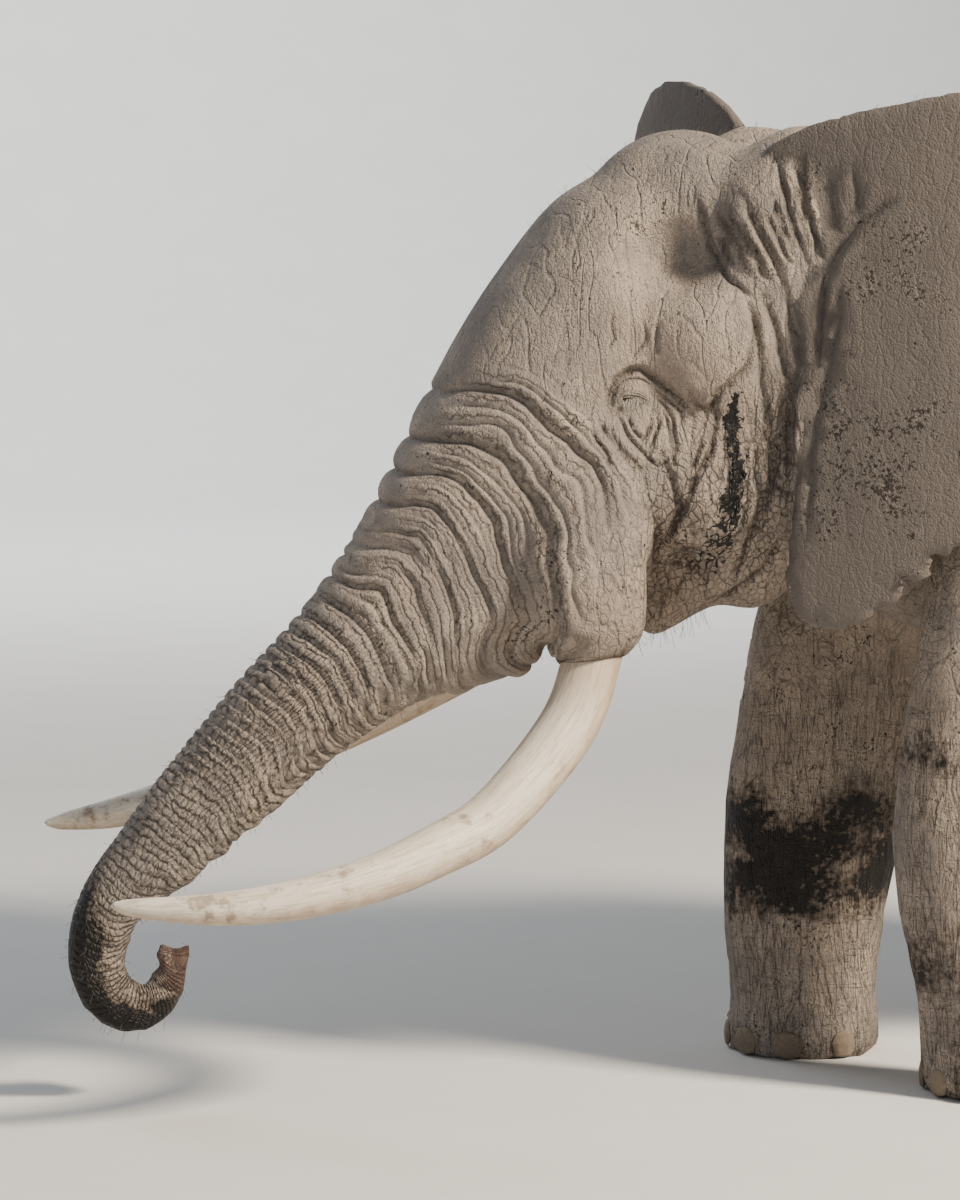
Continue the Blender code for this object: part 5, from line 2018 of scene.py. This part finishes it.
@dataclass
class Coat:
    """Works out where the animal's sparse hairs grow on the finished skin."""

    place: Place
    skin: Thing
    seed: int = 5

    def __post_init__(self) -> None:
        """Reads the skin."""
        self.at = self.place.inward(points_of(self.skin.data))
        self.normal = normals_of(self.skin.data)
        self.pick = np.random.default_rng(self.seed)

    def grow(self, index: Rows, shortest: float, longest: float, lean: Sequence[float],
             sag: float) -> Strands:
        """Makes hairs stand on chosen vertices.

        Args:
            index: the vertices.
            shortest: length of the shortest hair.
            longest: length of the longest.
            lean: which way they lean.
            sag: how far a tip hangs, as a share of the hair's length.

        Returns:
            The hairs.
        """
        count = len(index)
        way = unit(self.normal[index] + np.array(lean) + self.pick.normal(0, 0.25, (count, 3)))
        length = self.pick.uniform(shortest, longest, count)
        bend = np.array([0.0, 0.0, -1.0]) * (length * sag)[:, None]
        bend += self.pick.normal(0, 0.12, (count, 3)) * length[:, None]
        roots = self.place.outward(self.at[index]) - self.normal[index] * 0.0015
        return Strands(roots, way, length, bend)

    def choose(self, where: Rows, count: int) -> Rows:
        """Picks vertices at random among those marked."""
        index = np.nonzero(where)[0]
        return self.pick.choice(index, min(count, len(index)), replace=False)

    def bristles(self) -> Strands:
        """Hairs of the chin, the lip and the underside of the trunk."""
        x, y, z = self.at.T
        chin = (x > 0.42) & (x < 0.66) & (z < 1.50) & (z > 1.28)
        lip = (np.abs(y) > 0.16) & (x > 0.08) & (x < 0.42) & (z > 1.27) & (z < 1.42)
        trunk = (x < -0.20) & (z < 1.35)
        return self.joined([
            self.grow(self.choose(where, count), *shape) for where, count, *shape in (
                (chin, 170, 0.020, 0.055, (-0.2, 0, -0.5), 0.25),
                (lip, 90, 0.015, 0.035, (-0.1, 0, -0.5), 0.2),
                (trunk, 420, 0.010, 0.030, (-0.2, 0, -0.4), 0.2),
            )
        ])

    def down(self) -> Strands:
        """Short hairs of the crown, the neck and the back."""
        x, y, z = self.at.T
        crown = (x > 0.15) & (x < 1.0) & (z > 2.45) & (self.normal[:, 2] > 0.1)
        back = (x > 1.0) & (z > 2.2) & (self.normal[:, 2] > 0.5)
        return self.joined([
            self.grow(self.choose(where, count), *shape) for where, count, *shape in (
                (crown, 420, 0.012, 0.030, (0.5, 0, 0.1), 0.15),
                (back, 380, 0.012, 0.035, (0.8, 0, 0.0), 0.2),
            )
        ])

    def lashes(self) -> Strands:
        """Pale tangled lashes along the upper lids."""
        lots = []
        for side, sign in SIDES.items():
            eye = self.place.inward(self.place.eyes[side])
            turn = np.array([1.0, sign, 1.0])
            for row, count in ((0.0, 64), (0.004, 40)):
                share = np.linspace(-1, 1, count) + self.pick.uniform(-0.02, 0.02, count)
                along = 0.031 * share
                spots = eye + np.stack([
                    along, sign * (0.0275 - 9 * along ** 2), -0.0045 - 6 * along ** 2 + row,
                ], axis=1)
                way = np.stack([
                    0.30 * share - 0.25, np.full(count, 1.0), np.full(count, -0.35 + 40 * row),
                ], axis=1) * turn + self.pick.normal(0, 0.20, (count, 3))
                way = unit(way)
                length = self.pick.uniform(0.018, 0.036, count)
                bend = np.array([0.0, -0.25 * sign, -0.75]) * length[:, None]
                bend += self.pick.normal(0, 0.22, (count, 3)) * length[:, None]
                lots.append(Strands(self.place.outward(spots), way, length, bend))
        return self.joined(lots)

    def tail(self) -> Strands:
        """Coarse hairs along the front and back of the tail's end."""
        count = 420
        share = self.pick.uniform(0, 1, count) ** 0.8
        turn = np.where(self.pick.uniform(0, 1, count) < 0.5, 0.0, np.pi)
        turn = turn + self.pick.normal(0, 0.55, count)
        middle = np.stack([
            3.849 + 0 * share, 0.047 + 0.006 * share, 1.22 - 0.20 * share,
        ], axis=1)
        out = np.stack([np.cos(turn), np.sin(turn), 0 * turn], axis=1)
        roots = middle + out * (0.034, 0.031, 0)
        way = out * self.pick.uniform(0.10, 0.34, count)[:, None] + (0, 0, -1.0)
        way = unit(way)
        length = np.minimum(self.pick.uniform(0.22, 0.44, count), roots[:, 2] - 0.70)
        bend = -out * (length * self.pick.uniform(0.05, 0.30, count))[:, None]
        return Strands(self.place.outward(roots), way, length, bend)

    def joined(self, lots: Sequence[Strands]) -> Strands:
        """Puts lots of hairs together.

        Args:
            lots: the lots.

        Returns:
            All their hairs as one.
        """
        return Strands(*(
            np.concatenate([getattr(lot, name) for lot in lots])
            for name in ("roots", "ways", "lengths", "bends")
        ))


# ---------------- stage


@dataclass
class Studio:
    """A pale floor, soft lights and the camera."""

    place: Place
    distance: float = 14.0
    turn: float = math.radians(12.0)
    height: float = 2.77
    dip: float = math.atan(2 / 21)
    lens: float = 144.9

    def build(self) -> None:
        """Makes the floor, the lights, the sky and the camera."""
        self.floor()
        self.lights()
        self.camera()

    def floor(self) -> None:
        """Lays the floor and bends it up behind the animal."""
        across, steps = 60.0, 24
        line = [(-40.0, 0.0), (22.0, 0.0)]
        for step in range(1, steps + 1):
            angle = math.pi / 2 * step / steps
            line.append((22.0 + 9 * math.sin(angle), 9 * (1 - math.cos(angle))))
        line.append((31.0, 40.0))
        rows = [(side * across, back, up) for back, up in line for side in (-1, 1)]
        faces = [(2 * a, 2 * a + 1, 2 * a + 3, 2 * a + 2) for a in range(len(line) - 1)]
        mesh = bpy.data.meshes.new("floor")
        mesh.from_pydata(rows, [], faces)
        mesh.shade_smooth()
        thing = add_object("studio_floor", mesh)
        thing.data.materials.append(
            Plain("pale_painted_floor", "D8D6D1", "CFCDC8", 0.9, 0.4, 0.0).make()
        )

    def lamp(self, name: str, at: Sequence[float], aim: Sequence[float], size: float,
             power: float, colour: str) -> None:
        """Hangs one soft lamp.

        Args:
            name: the lamp's name.
            at: where it hangs, in the animal's axes.
            aim: what it points at.
            size: the width of its square.
            power: its power in watts.
            colour: its colour.
        """
        light = bpy.data.lights.new(name, "AREA")
        light.shape = "SQUARE"
        light.size = size
        light.energy = power
        light.color = from_hex(colour)[:3]
        thing = add_object(name, light)
        here, there = Vector(self.place.outward(at)), Vector(self.place.outward(aim))
        thing.location = here
        thing.rotation_euler = (there - here).to_track_quat("-Z", "Y").to_euler()

    def lights(self) -> None:
        """Hangs the lamps and sets the sky."""
        for lamp in (
            ("key", (8.0, -7.4, 9.8), (0.2, -0.2, 1.5), 2.1, 4700.0, "FFF1DE"),
            ("fill", (-9.0, -9.0, 3.5), (0.0, 0.0, 1.5), 7.0, 270.0, "DCE6F8"),
            ("rim", (-4.0, 9.0, 8.5), (0.5, 0.0, 1.8), 5.0, 520.0, "F2F6FF"),
            ("wall", (0.0, 17.0, 13.0), (0.0, 30.0, 3.0), 14.0, 5200.0, "F4F7FC"),
        ):
            self.lamp(*lamp)
        world = bpy.data.worlds.new("studio_air")
        world.use_nodes = True
        back = world.node_tree.nodes["Background"]
        back.inputs["Color"].default_value = from_hex("DDE6F0")
        back.inputs["Strength"].default_value = 0.31
        bpy.context.scene.world = world

    def camera(self) -> None:
        """Sets up the camera."""
        level = Vector((math.sin(self.turn), math.cos(self.turn), 0))
        aim = level * math.cos(self.dip) - Vector((0, 0, math.sin(self.dip)))
        lens = bpy.data.cameras.new("camera")
        lens.lens = self.lens
        lens.sensor_width = 36
        lens.clip_end = 300
        thing = add_object("camera", lens)
        at = -level * self.distance + Vector((0, 0, self.height))
        thing.location = Vector(self.place.outward(at))
        thing.rotation_euler = aim.to_track_quat("-Z", "Y").to_euler()
        bpy.context.scene.camera = thing


# ---------------- the whole animal


def add_piece(builder: Any) -> Thing:
    """Builds and dresses one piece and says so.

    Args:
        builder: the piece's own class, filled in.

    Returns:
        The finished piece.
    """
    thing = builder.dress(builder.build())
    LOG.info("%s: %d faces", thing.name, len(thing.data.polygons))
    return thing


def main() -> None:
    """Builds every piece and puts it in the model."""
    logging.basicConfig(level=logging.INFO, format="%(relativeCreated)d ms %(message)s")
    place = Place()
    ivory = Ivory("worn_ivory")
    horn = Plain("dusty_toenail_horn", "877865", "51473B", 0.75, 0.012, 0.0030)
    wet = WetEye("wet_dark_eye")
    skin = add_piece(Skin(place, Hide()))
    coat = Coat(place, skin)
    dark = Plain("coarse_black_hair", "2A2521", "0B0A09", 0.5, 0.003, 0.0)
    pale = Plain("pale_wiry_lash", "D6CDC1", "9C9388", 0.5, 0.003, 0.0)
    grey = Plain("grey_bristle", "6E655C", "3A332D", 0.5, 0.003, 0.0)
    builders: list[Any] = [Tusk(side, place, ivory, TUSK_ROWS[side]) for side in SIDES]
    builders += [Eye(side, place, wet) for side in SIDES]
    builders += [
        Nails(horn),
        Hair("lashes", coat.lashes(), pale, skin, 0.00030, 7, 0.014, 0.012),
        Hair("bristles", coat.bristles(), grey, skin, 0.0006, 5, 0.004, 0.02),
        Hair("down_hair", coat.down(), grey, skin, 0.0005, 5, 0.004, 0.02),
        Hair("tail_hair", coat.tail(), dark, skin, 0.0013, 9, 0.030, 0.08, ("tail_tuft",)),
    ]
    for builder in builders:
        add_piece(builder)
    Studio(place).build()


if __name__ == "__main__":
    main()
